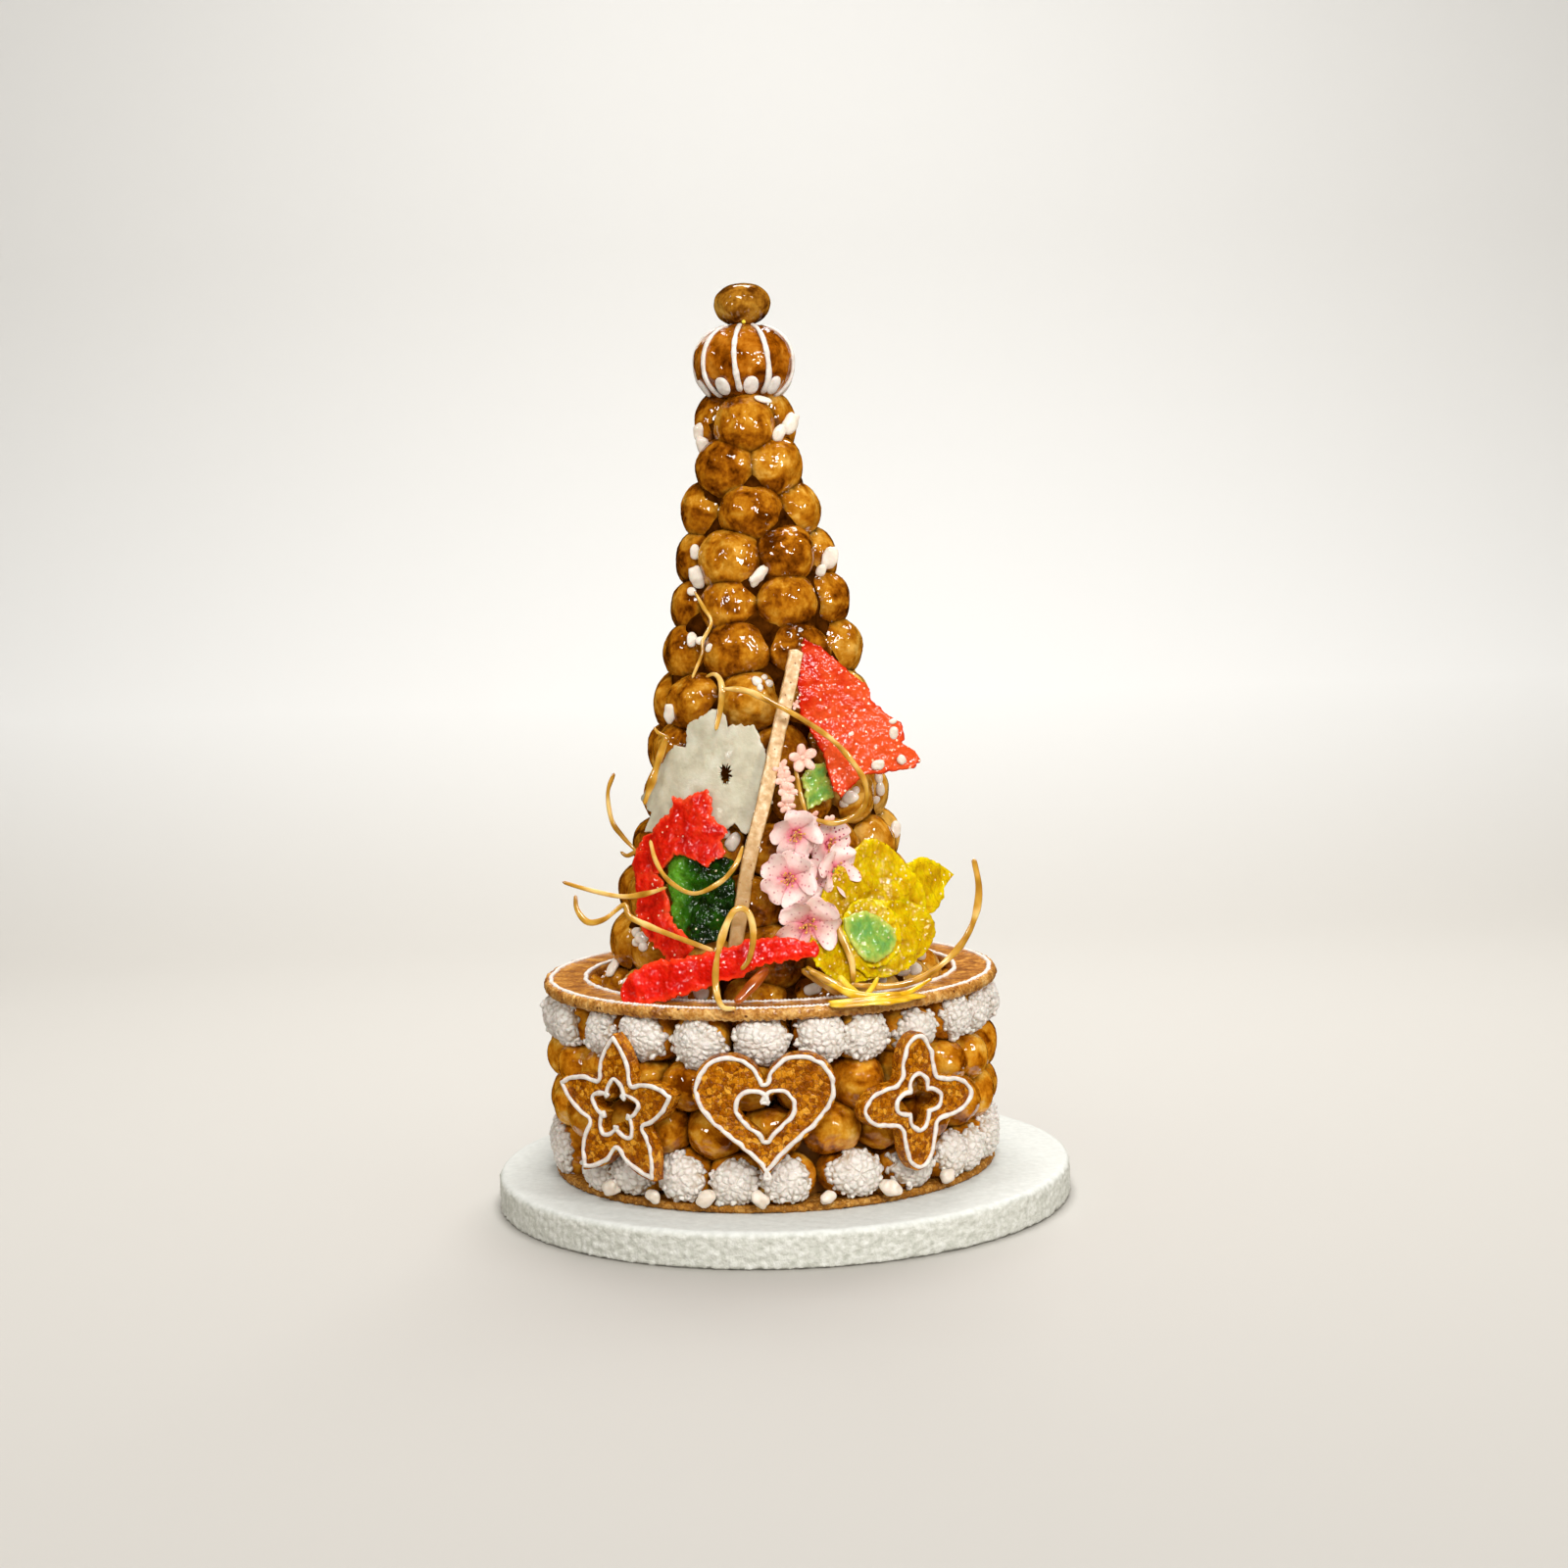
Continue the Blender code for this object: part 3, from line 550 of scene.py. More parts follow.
print("board")
board = {"softEdge": 4 * mm, "grain": 2.4 * mm, "grainDepth": 1.0 * mm, "step": 1.3 * mm,
         "topRings": (0, 0.03, 0.07, 0.11), "columns": 900}
base = {"softEdge": 1.2 * mm, "step": 0.8 * mm, "crumb": 4 * mm, "crumbDepth": 0.35 * mm, "columns": 720}


def makeBoard():
    # a disc with a worn upper edge; its side is pressed into coarse grains, its top is nearly smooth
    radius = (boardHigh[0] - boardLow[0]) / 2 - board["grainDepth"]
    tall = boardHigh[2] - boardLow[2]
    soft = board["softEdge"]
    turn = np.linspace(0, np.pi / 2, 7)
    edge = list(zip(radius - soft + soft * np.sin(turn), -soft + soft * np.cos(turn)))
    spots = [(radius - 0.05, 0.0)] + edge + [(radius, -tall + 1.5 * mm), (radius - 1.5 * mm, -tall)]
    profile = np.concatenate(([(ring, 0) for ring in board["topRings"]], alongProfile(spots, board["step"]),
                              ((0.1, -tall), (0, -tall))))
    middle = np.array(((boardHigh[0] + boardLow[0]) / 2 - tower[0], 0, 0))

    def pressed(points):
        # side is 0 on top and 1 on the side; grains and waves are weighted by it, slow waves by the rest
        side = np.clip((-points[..., 2] + boardTop) / soft, 0, 1) * (points[..., 2] > boardLow[2] + 0.5 * mm)
        grain = grains(points * (1, 1, 0.8), board["grain"], 3) * 0.7 + swell(points, 5 * mm, 4) * 0.3
        relief = board["grainDepth"] * side * grain + 0.12 * mm * (1 - side) * swell(points, 9 * mm, 5)
        return np.where(points[..., 2] > boardLow[2] + 0.1 * mm, relief, 0)

    points = turnedPoints(profile, board["columns"], pressed) + middle
    side = np.clip((boardTop - points[..., 2]) / soft, 0, 1)
    makePiece("board", [(points, False, {"side": side})], boardIcing(), ["board"])


def makeBase(finish):
    # a rolled nougatine disc with a broken, uneven edge
    low, high = box("base_disc")
    radius, soft = (high[0] - low[0]) / 2, base["softEdge"]
    ground, top = low[2] - boardTop, high[2] - boardTop
    spots = [(radius - 0.03, top), (radius - soft, top), (radius, top - soft), (radius, ground + soft),
             (radius - soft, ground)]
    profile = np.concatenate((((0, top), (0.06, top)), alongProfile(spots, base["step"]),
                              ((0.1, ground), (0, ground))))

    def crumbled(points):
        # waves about as long as the crumbs
        return base["crumbDepth"] * swell(points, base["crumb"], 8)

    makePiece("base_disc", [turnedPoints(profile, base["columns"], crumbled)], finish)


# choux

print("choux")
choux = {"halves": np.array((23.0, 21.6, 21.6)) * mm, "proud": 3.0 * mm, "sizeSpread": 0.045, "tilt": 0.10,
         "roll": 0.20, "bake": 0.5, "crease": 3.4 * mm, "rows": 20, "columns": 32, "fullness": 2.16}
cone = {"counts": (15, 14, 13, 12, 11, 10, 9, 7, 7, 6, 5, 4, 3),
        "phases": (-6, 0, -9, 4, -12, 10, -6, -20, -25, -28, -4, -44, 2),   # degrees
        "spread": {10: 0.16}, "rounder": {12: (0.88, 1.13, 1)}, "overlap": 2.4 * mm,   # by tier, from 0
        # painted light: the choux right of the tower are coloured paler, rising over a span from a start
        "uneven": (0.02, 0.8, 1.1), "paler": 2.3, "palerFrom": 35 * mm, "palerOver": 25 * mm,
        "fillingBack": 12 * mm, "fillingAbove": 8 * mm, "fillingBelow": 15 * mm}
drum = {"halves": np.array((20.0, 18.0, 20.0)) * mm, "outer": 157 * mm, "perRow": 24,
        "uneven": (0.012, 0.6, 0.8),   # below, azimuths given in degrees
        "frontTop": (-67, -48, -35, -18, -3, 12, 24, 38, 54, 67),
        "frontLow": (-74, -52, -39, -24, -10, 3, 20, 35, 50, 61)}


def unevenBall(points):
    # choux are lumpy: broad dents with small puckers on them
    return 0.030 * swell(points, 24 * mm, 11) + 0.006 * swell(points, 7 * mm, 12)


def paintedCreaseShade(points, places, axes, halves):
    # painted shade in the creases: how near each point of each ball is to the other balls, 1 where they
    # touch,
    # 0 from 3.4 mm off; the gap is the point's distance in the other ball's own half sizes, less 1, times its
    # mean half size
    near = np.zeros(points.shape[:3])
    for ball, (place, frame, half) in enumerate(zip(places, axes, halves)):
        gap = (np.linalg.norm((points - place) @ frame.T / half, axis=-1) - 1) * half.mean()
        gap[ball] = 1.0
        near = np.maximum(near, np.clip(1 - gap / choux["crease"], 0, 1))
    return near ** 1.5


def tierShape(node):
    # the radius, middle and height of a tier, from its CAD node; round puffs stand prouder than its facets
    found = corners(node)
    middle = (found.min(0) + found.max(0)) / 2
    reach = np.hypot(found[:, 0] - middle[0], found[:, 1]).max() + choux["proud"]
    return reach, middle[0], middle[2]


tierNodes = [f"cone_tier_{tier + 1:02d}" for tier in range(len(cone["counts"]))]
tiers = np.array([tierShape(node) for node in tierNodes])


def coneRadius(level):
    # how far the choux reach from the cone's axis at a level, in a straight line from tier to tier
    return np.interp(level, tiers[:, 2], tiers[:, 0])


def chouxRing(draw, middle, reach, level, turn, halves, uneven):
    # one ring of choux, none quite the same; uneven is how much their turn in radians, and their radius and
    # height in mm, vary
    count = len(turn)
    turn = turn + draw.normal(0, uneven[0], count)
    size = (1 + choux["sizeSpread"] * draw.normal(size=(count, 3)).clip(-1.5, 1.5)) * halves
    radius = reach - size[:, 2] + draw.normal(0, uneven[1] * mm, count)
    height = level + draw.normal(0, uneven[2] * mm, count)
    places = np.stack((middle + radius * np.sin(turn), -radius * np.cos(turn), height), -1)
    tilt, roll = (draw.normal(0, choux[angle], count) for angle in ("tilt", "roll"))
    return places, facing(turn, tilt, roll), size


def makeChoux(name, draw, rings, finish, nodes, paler=0):
    # separate choux, each baked a little differently; with painted light, those on the right of the tower are
    # coloured paler
    places, axes, halves = (np.concatenate(found) for found in zip(*rings))
    points = ballPoints(places, axes, halves, choux["rows"], choux["columns"], choux["fullness"], unevenBall)
    bake = draw.normal(0, choux["bake"], len(places)).clip(-1, 1)
    # painted light: the choux right of the tower get a paler tone
    bake = bake + paler * np.clip((places[:, 0] - tower[0] - cone["palerFrom"]) / cone["palerOver"], 0, 1)
    # the crease mark is painted shade where the choux touch
    marks = {"bake": bake[:, None, None], "crease": paintedCreaseShade(points, places, axes, halves)}
    return makePiece(name, [(points, False, marks)], finish, nodes)


def makeConeChoux(draw, finish):
    # every tier a ring of choux, at equal turns from its own phase, and wide enough to touch each other
    rings = []
    for tier, ((reach, middle, level), count, phase) in enumerate(zip(tiers, cone["counts"], cone["phases"])):
        turn = 2 * np.pi * np.arange(count) / count
        turn = turn + cone["spread"].get(tier, 0) * np.sin(turn) + np.radians(phase)
        wide, tall, deep = choux["halves"]
        wide = max(wide, (reach - deep) * math.sin(math.pi / count) + cone["overlap"])   # no gaps in the ring
        halves = np.array((wide, tall, deep)) * cone["rounder"].get(tier, 1)
        rings.append(chouxRing(draw, middle, reach, level, turn, halves, cone["uneven"]))
    return makeChoux("coneChoux", draw, rings, finish, tierNodes, cone["paler"])


def makeConeFilling(finish):
    # what shows in the gaps: the caramel that holds the choux together, coloured near black and without gloss
    # as painted shade in the gaps
    back = cone["fillingBack"]
    foot = tiers[0, 2] - boardTop - cone["fillingBelow"]
    profile = [(0, tiers[-1, 2] - boardTop + cone["fillingAbove"])]
    profile += [(reach - back, level - boardTop) for reach, middle, level in tiers[::-1]]
    profile = alongProfile(profile + [(tiers[0, 0] - back, foot), (0, foot)], 4 * mm)
    points = turnedPoints(profile, 96, lambda found: 3.0 * mm * swell(found, 24 * mm, 21))
    points[..., 0] += np.interp(points[..., 2], tiers[:, 2], tiers[:, 1]) - tower[0]
    makePiece("coneFilling", [points], finish)


def makeDrumChoux(draw, finish):
    # four rows of choux; returns the bottom and top rows, which the pearl sugar sits on
    rows, nodes = [], [f"drum_row_{row}" for row in range(1, 5)]
    for node, front, shift in zip(nodes, ("frontLow", None, None, "frontTop"), (0, 0, 0.5, 0)):
        low, high = box(node)
        turn = 2 * np.pi * (np.arange(drum["perRow"]) + shift) / drum["perRow"]
        if front:   # the others evenly spaced round the back
            turn = np.radians(drum[front])
            behind = np.linspace(turn[-1], turn[0] + 2 * np.pi, drum["perRow"] - len(turn) + 2)[1:-1]
            turn = np.concatenate((turn, behind))
        level = (low[2] + high[2]) / 2
        rows.append(chouxRing(draw, tower[0], drum["outer"], level, turn, drum["halves"], drum["uneven"]))
    makeChoux("drumChoux", draw, rows, finish, nodes)
    return rows[0], rows[3]


# pearl sugar

pearl = {"spread": 59, "lift": 0.9 * mm, "crystal": 4.4 * mm, "stand": 1.2 * mm, "sink": 1.6 * mm,
         "faceRows": 26, "columns": 100, "looseNibs": 22, "nib": 2.1 * mm}


def makePearlCaps(name, draw, places, axes, halves, finish):
    # on the face of each choux a ragged cap of sugar crystals grown together: the choux's own surface out
    # to an uneven edge, raised by cell relief, and closed inside the choux; loose nibs lie on it
    count, faceRows, columns = len(places), pearl["faceRows"], pearl["columns"]
    share = np.concatenate((np.linspace(0, 1, faceRows), (0.9, 0.5, 0.0)))[None, :, None]
    buried = np.concatenate((np.zeros(faceRows), np.ones(3)))[None, :, None]
    turn = roundTurn(columns)[None]
    spread = math.radians(pearl["spread"]) * draw.uniform(0.86, 1.05, (count, 1))
    spin = np.stack(np.broadcast_arrays(np.cos(turn), np.sin(turn), np.arange(count)[:, None]), -1)
    spread = spread * (1 + 0.07 * swell(spin, 1.3, 32) + 0.07 * swell(spin, 0.36, 33))
    down = share * spread[:, None]
    turn = turn[:, None] + 0 * down
    ways = np.stack((np.sin(down) * np.cos(turn), np.sin(down) * np.sin(turn), np.cos(down)), -1)
    spots = [onBalls(way.reshape(1, -1, 3), place[None], own[None], half[None], choux["fullness"], unevenBall)
             for way, place, own, half in zip(ways, places, axes, halves)]
    spots = np.concatenate(spots).reshape(ways.shape)
    grown = np.clip(2.0 * grains(spots, pearl["crystal"], 34), 0, 1)
    lift = pearl["lift"] + pearl["stand"] * grown + 0.25 * mm * swell(spots, 2.4 * mm, 35)
    lift = np.where(buried > 0, -pearl["sink"], lift * (1 - share ** 14))
    points = spots + unit(spots - places[:, None, None]) * lift[..., None]
    picks = draw.integers(0, (faceRows, columns), (count, pearl["looseNibs"], 2))
    picks[..., 0] = faceRows - 1 - picks[..., 0] ** 2 // (2 * faceRows)   # more of them near the edge
    chosen = points[np.arange(count)[:, None], picks[..., 0], picks[..., 1]].reshape(-1, 3)
    ranges = ((0, 6.3), (-1.2, 1.2), (0, 6.3))   # azimuth, tilt and roll
    loose = facing(*(draw.uniform(low, high, len(chosen)) for low, high in ranges))
    nibs = ballPoints(chosen, loose, pearl["nib"] * draw.uniform(0.55, 1.2, (len(chosen), 3)), 6, 8, 3.2,
                      lambda found: 0.18 * swell(found, 2.2 * mm, 31))
    # the rise mark carries the painted shade between the crystals and the paler crystal tops
    rise = np.clip(grown, 0.75 - 0.75 * share ** 3, 1)   # the caramel shows more towards the cap's edge
    makePiece(name, [(points, False, {"rise": rise}), (nibs, False, {"rise": 1.0})], finish)


# rim

rim = {"outerLine": 4.2 * mm, "innerLine": 1.6 * mm, "lineHalf": 1.6 * mm, "beads": 2.6 * mm,
       "notch": 4.5 * mm, "softEdge": 0.8 * mm, "step": 2.0 * mm, "columns": 1440}


def makeRim(finish, icing):
    # a rolled nougatine ring with a swollen, granular outer edge, and two piped lines of beads
    low, high = box("rim_ring")
    found = corners("rim_ring")
    outer, inner = (high[0] - low[0]) / 2, np.hypot(found[:, 0] - tower[0], found[:, 1]).min()
    ground, top, soft = low[2] - boardTop, high[2] - boardTop, rim["softEdge"]
    half = (top - ground) / 2
    turn = np.linspace(0, np.pi, 13)
    bulge = list(zip(outer - half * 0.75 + half * 0.75 * np.sin(turn), ground + half - half * np.cos(turn)))
    spots = [(inner, top - soft), (inner, ground + soft), (inner + soft, ground)] + bulge
    profile = alongProfile(spots + [(inner + soft, top), (inner, top - soft)], rim["step"])[:-1]

    def rolled(points):
        # slow waves all over, and slanting notches, a sine of turn and height, where edge is 1
        radius = np.hypot(points[..., 0] - tower[0], points[..., 1])
        edge = np.clip((radius - outer + 4.5 * mm) / (2.5 * mm), 0, 1)
        turn = np.arctan2(points[..., 0] - tower[0], -points[..., 1])
        slant = turn * outer / rim["notch"] + points[..., 2] / (2.5 * mm) + 0.5 * swell(points, 16 * mm, 40)
        notched = 0.4 * mm * (np.sin(2 * np.pi * slant) - 0.6) + 0.2 * mm * swell(points, 3 * mm, 42)
        return -0.3 * mm + 0.2 * mm * swell(points, 7 * mm, 41) + edge * notched

    points = turnedPoints(profile, rim["columns"], rolled)
    radius = np.hypot(points[..., 0] - tower[0], points[..., 1])
    marks = {"edge": np.clip((radius - outer + 3.2 * mm) / (1.2 * mm), 0, 1)}
    makePiece("rim_ring", [(points, True, marks)], finish)
    lines = []
    for place, seed in ((outer - rim["outerLine"], 43), (inner + rim["innerLine"], 44)):
        turn = roundTurn(int(2 * np.pi * place / (0.65 * mm)))
        flat = np.stack((np.sin(turn), -np.cos(turn), 0 * turn), -1)
        beads = np.abs(np.sin(turn * round(np.pi * place / rim["beads"])))
        wander = 0.35 * mm * swell(flat * place, 18 * mm, seed)[:, None]
        path = tower + flat * (place + wander) + (0, 0, top + 0.15 * mm)
        half = rim["lineHalf"] * (0.72 + 0.4 * beads + 0.12 * swell(flat * place, 5 * mm, seed + 5))
        lines.append((threadPoints(path, half, half * 0.85, 8, (0, 0, 1), closed=True), True, {}))
    makePiece("rimIcing", lines, icing)


# crown

print("crown")
crown = {"ribs": (-98, -51, -8, 29, 76, 119, 164, 209), "ribHalf": 2.1 * mm, "ribFrom": 21, "ribTo": 143,
         "dots": (-76, -31, 9, 44, 97, 141, 186, 234), "dot": (5.2 * mm, 7.0 * mm, 1.9 * mm), "dotAt": 127,
         "fullness": 2.3}   # angles in degrees


def onCrown(middle, half, azimuth, down, lift):
    # a point on the crown ball: azimuth round it, down from its top, both in radians; round when seen from
    # above, a little squarish from the side
    full = crown["fullness"]
    flat, up = np.sin(down), np.cos(down) + 0 * azimuth
    way = np.stack((flat * np.sin(azimuth), -flat * np.cos(azimuth), up), -1)
    size = (way[..., :2] ** 2).sum(-1, keepdims=True) ** (full / 2) + np.abs(way[..., 2:]) ** full
    return middle + way / size ** (1 / full) * (half + lift)


def makeCrown(finish, topFinish, icing, bead):
    # the big round puff with piped ribs and dots, and the small puff on it
    low, high = box("crown_ball")
    middle, half = (low + high) / 2, (high - low) / 2
    half[1] = half[0]
    points = onCrown(middle, half - 0.5 * mm, roundTurn(96)[None], np.linspace(0, np.pi, 48)[:, None], 0.0)
    relief = 0.6 * mm * swell(points, 22 * mm, 51) + 0.15 * mm * swell(points, 7 * mm, 52)
    points = points + unit(points - middle) * relief[..., None]
    makePiece("crown_ball", [(points, False, {"bake": 0.0, "crease": 0.0})], finish)
    low, high = box("top_puff")
    size = (high - low) / 2
    points = ballPoints([(low + high) / 2 + (0, 0, -0.3 * mm)], facing([0.3], [0.06]),
                        [(size[0], size[2] + 0.8 * mm, size[0])], 30, 44, 2.1,
                        lambda found: 0.02 * swell(found, 18 * mm, 53) + 0.006 * swell(found, 6 * mm, 54))
    makePiece("top_puff", [(points, False, {"bake": -0.3, "crease": 0.0})], topFinish)
    parts = []
    for index, azimuth in enumerate(np.radians(crown["ribs"])):
        down = np.radians(np.linspace(crown["ribFrom"], crown["ribTo"] + 5 * math.sin(index * 2.1), 40))
        path = onCrown(middle, half, azimuth + 0.05 * np.sin(down * 2 + index), down, 0.25 * mm)
        wide = crown["ribHalf"] * roundEnds(40, 0.06) * (0.8 + 0.35 * np.linspace(0, 1, 40) ** 2
                                                         + 0.1 * swell(path, 7 * mm, 60 + index))
        parts.append(threadPoints(path, wide, wide * 0.7, broadside=unit(path - middle), upright=True))
    for index, azimuth in enumerate(np.radians(crown["dots"])):
        spot = onCrown(middle, half, azimuth, np.radians(crown["dotAt"]), 0.1 * mm)
        axes = facing([azimuth], [-0.62], [0.12 * math.sin(index * 3.1)])
        parts.append(ballPoints([spot], axes, [crown["dot"]], 14, 22))
    makePiece("crownIcing", parts, icing)
    size = 1.4 * mm
    spot = onCrown(middle, half, 0.07, 0.30, size)
    parts = [ballPoints([spot], facing([0.0]), [(size,) * 3], 10, 14)]
    makePiece("crownBead", parts, bead)


# plaques

plaque = {"wide": 92 * mm, "height": 67 * mm, "opening": 0.36, "tube": 1.45 * mm, "inset": 2.3 * mm,
          "chip": 3.3 * mm, "chipDepth": 0.45 * mm, "softEdge": 0.7 * mm, "columns": 320, "faceRows": 30,
          "sideRows": 8, "sharp": 50}


def starOutline(turn):
    # five points: the radius goes in straight lines, by turn, between the points and the notches
    swing = np.abs((turn * 5 / (2 * np.pi) + 0.5) % 1.0 - 0.5) * 2
    radius = 0.56 - 0.29 * swing
    return np.stack((radius * np.sin(turn), radius * np.cos(turn) - 0.02), -1)


def heartOutline(turn):
    # the heart curve: across is sine cubed, up is cosine less its second, third and fourth overtones
    across = 16 * np.sin(turn) ** 3
    up = 13 * np.cos(turn) - 5 * np.cos(2 * turn) - 2 * np.cos(3 * turn) - np.cos(4 * turn)
    return np.stack((across / 32, up / 32 + 0.07), -1)


def cloverOutline(turn):
    # four leaves: a circle whose radius swells four times in a turn
    radius = 0.37 + 0.12 * np.cos(4 * turn)
    return np.stack((radius * np.sin(turn), radius * np.cos(turn)), -1)


def insetOutline(outline, inset):
    # the outline moved inwards along its own normal
    along = unit(np.roll(outline, -2, 0) - np.roll(outline, 2, 0))
    inward = np.stack((along[:, 1], -along[:, 0]), -1)
    moved = outline - inward * np.sign((inward * outline).sum()) * inset
    return (moved + np.roll(moved, 1, 0) + np.roll(moved, -1, 0)) / 3


def makePlaque(name, outlineOf, azimuth, seed, finish, icing):
    # a pierced slab of nougatine: rows run over the face from the opening to the outline, down the side,
    # over the back and up inside the opening; the face carries raised chips
    axes = facing(math.radians(azimuth))
    depth = ((corners("plaque_" + name) - tower) @ axes.T)[:, 2]
    back, front, soft = depth.min(), depth.max(), plaque["softEdge"]
    outline = evenOutline(outlineOf(roundTurn(2000)), plaque["columns"]) * plaque["wide"]
    inner = outline * plaque["opening"]
    rows, sides = plaque["faceRows"], plaque["sideRows"]
    face = np.linspace(0, 1, rows)
    shares = np.concatenate((face, (1,) * sides, face[::-4], (0,) * (sides - 1)))
    depths = np.concatenate(((front,) * rows, np.linspace(front - soft, back + soft, sides),
                             (back,) * len(face[::-4]), np.linspace(back + soft, front - soft, sides - 1)))
    flat = inner[None] + (outline - inner)[None] * shares[:, None, None]
    edge = np.minimum(shares, 1 - shares)[:, None] * np.linalg.norm(outline - inner, axis=1)[None]
    isFace = (np.arange(len(shares)) < rows)[:, None]
    rounding = np.where(isFace, soft * (1 - np.clip(edge / soft, 0, 1)) ** 2 * 0.6, 0)
    raised = np.concatenate((flat, np.full(flat.shape[:2] + (1,), seed)), -1)
    chips = grains(raised, plaque["chip"], seed) * 0.8 + 0.35 * swell(raised, 3 * mm, seed)
    relief = np.where(isFace & (edge > 0.4 * mm), plaque["chipDepth"] * (chips - 0.75), 0)
    wavy = 1 + 0.010 * swell(raised, 14 * mm, seed + 1) * (shares[:, None] > 0.5)
    local = np.stack((flat[..., 0] * wavy, flat[..., 1] * wavy + plaque["height"],
                      depths[:, None] + relief - rounding), -1)
    made = makePiece(name, [(tower + local @ axes, True, {})], finish, ["plaque_" + name])
    made.data.set_sharp_from_angle(angle=math.radians(plaque["sharp"]))
    tubes = []
    for line, side in ((outline, 1), (inner, -1)):
        line = insetOutline(line, plaque["inset"] * side)
        path = np.concatenate((line + (0, plaque["height"]), np.full((len(line), 1), front + 0.2 * mm)), 1)
        ripple = swell(path, 7 * mm, seed + 2)
        half = plaque["tube"] * (1 + 0.13 * ripple)
        path = path + np.stack((0.3 * mm * ripple, 0.3 * mm * swell(path, 9 * mm, seed + 3), 0 * ripple), -1)
        tube = threadPoints(path, half, half * 0.85, broadside=(0, 0, 1), closed=True)
        tubes.append((tower + tube @ axes, True, {}))
    makePiece(name + "Icing", tubes, icing)


# sugar sheets: outlines and spines are in mm, across and up on the cone

def onCone(azimuth, height, stand, flat=0.5):
    # places a sheet's own (across, up, lift) on the cone: flat 0 follows the cone, 1 stays in one plane
    def place(local):
        level = tower[2] + height * mm + local[..., 1]
        reach = coneRadius(level) + stand * mm
        aside = np.arctan2(local[..., 0], reach)
        reach = reach / np.cos(flat * aside) + local[..., 2]
        turn = np.radians(azimuth) + aside
        return np.stack((reach * np.sin(turn), -reach * np.cos(turn), level - tower[2]), -1) + tower
    return place


def sheetPoints(outline, middle, thickness, seed, rows=22, columns=220, hole=None, ragged=0.9, wave=1.0,
                ripple=0.35):
    # a poured sheet, both faces in one grid: rows run from its middle to the outline and back under it, the
    # faces meet in a rounded edge; ragged roughens the outline, wave bends it all, ripple is on each face
    outline = evenOutline(np.asarray(outline, float) * mm, columns)
    middle = np.asarray(middle, float) * mm
    out = unit(outline - middle)
    field = np.concatenate((outline, np.full((columns, 1), seed)), 1)
    rough = 0.6 * swell(field, 6 * mm, seed) + 0.4 * swell(field, 2.5 * mm, seed + 1)
    outline = outline + out * (ragged * mm * rough)[:, None]
    start = middle + out * np.multiply(hole or 0, mm) * (1 + 0.2 * swell(field, 10 * mm, seed + 2))[:, None]
    place = np.linspace(0, 1, rows)
    if hole:
        share = 0.5 - 0.5 * np.cos(np.pi * place)
        shares = np.concatenate((share, share[-2:0:-1]))
        edge = np.minimum(shares, 1 - shares)
    else:
        share = 1 - (1 - place) ** 1.5
        shares = np.concatenate((share, share[-2::-1]))
        edge = 1 - shares
    sides = np.where(np.arange(len(shares)) < rows, 1, -1)[:, None]
    near = edge[:, None] * np.linalg.norm(outline - start, axis=1)
    half = thickness * mm / 2
    body = np.sqrt(1 - (1 - np.clip(near / (1.3 * half), 0, 1)) ** 2)
    flat = start + (outline - start) * shares[:, None, None]
    field = np.concatenate((flat, np.full(flat.shape[:2] + (1,), seed)), -1)
    bumps = ripple * mm * swell(field + (0, 0, 1) * sides[..., None], 10 * mm, seed + 4)
    lift = half + wave * mm * swell(field, 26 * mm, seed + 3) + sides * body * (half + bumps)
    thin = np.clip(1 - near / (5 * mm), 0, 1)
    return np.concatenate((flat, lift[..., None]), -1), bool(hole), {"thin": thin}


ribbon = {"rows": 110, "columns": 44, "ripple": 0.5}


def ribbonPoints(spine, thickness, seed, ragged):
    # a long poured sheet: across its spine a flat rounded section, as wide as the spine says there
    track = throughKnots(np.asarray(spine, float) * mm, ribbon["rows"])
    along = unit(np.gradient(track[:, :2], axis=0))
    across = np.stack((along[:, 1], -along[:, 0]), -1)
    turn = roundTurn(ribbon["columns"])[None]
    wide, thick = squared(np.cos(turn), 0.6), squared(np.sin(turn), 0.5)
    ends = roundEnds(ribbon["rows"], 0.03)[:, None]
    field = np.stack(np.broadcast_arrays(track[:, :1], track[:, 1:2], np.sign(wide) * 0.5 + seed), -1)
    rough = 0.6 * swell(field, 7 * mm, seed) + 0.4 * swell(field, 2.8 * mm, seed + 1)
    reach = track[:, 2:] * (1 + ragged * mm * rough / np.maximum(track[:, 2:], 2 * mm)) * wide * ends
    flat = track[:, None, :2] + across[:, None] * reach[..., None]
    place = np.stack(np.broadcast_arrays(flat[..., 0], flat[..., 1], np.sign(thick) + seed), -1)
    bumps = ribbon["ripple"] * mm * swell(place, 9 * mm, seed + 4)
    half = thickness * mm / 2
    lift = half + mm * swell(place * (1, 1, 0), 24 * mm, seed + 3) + ends * thick * (half + bumps)
    return np.concatenate((flat, lift[..., None]), -1), False, {"thin": np.clip(np.abs(wide) * 3 - 2, 0, 1)}


def makeSheet(node, finish, slot, *layers):
    # one piece of sugar; a layer is its place on the cone, then its grid, ring and marks
    parts = [(onCone(*place)(local), ring, marks) for place, (local, ring, marks) in layers]
    makePiece(node, parts, finish)


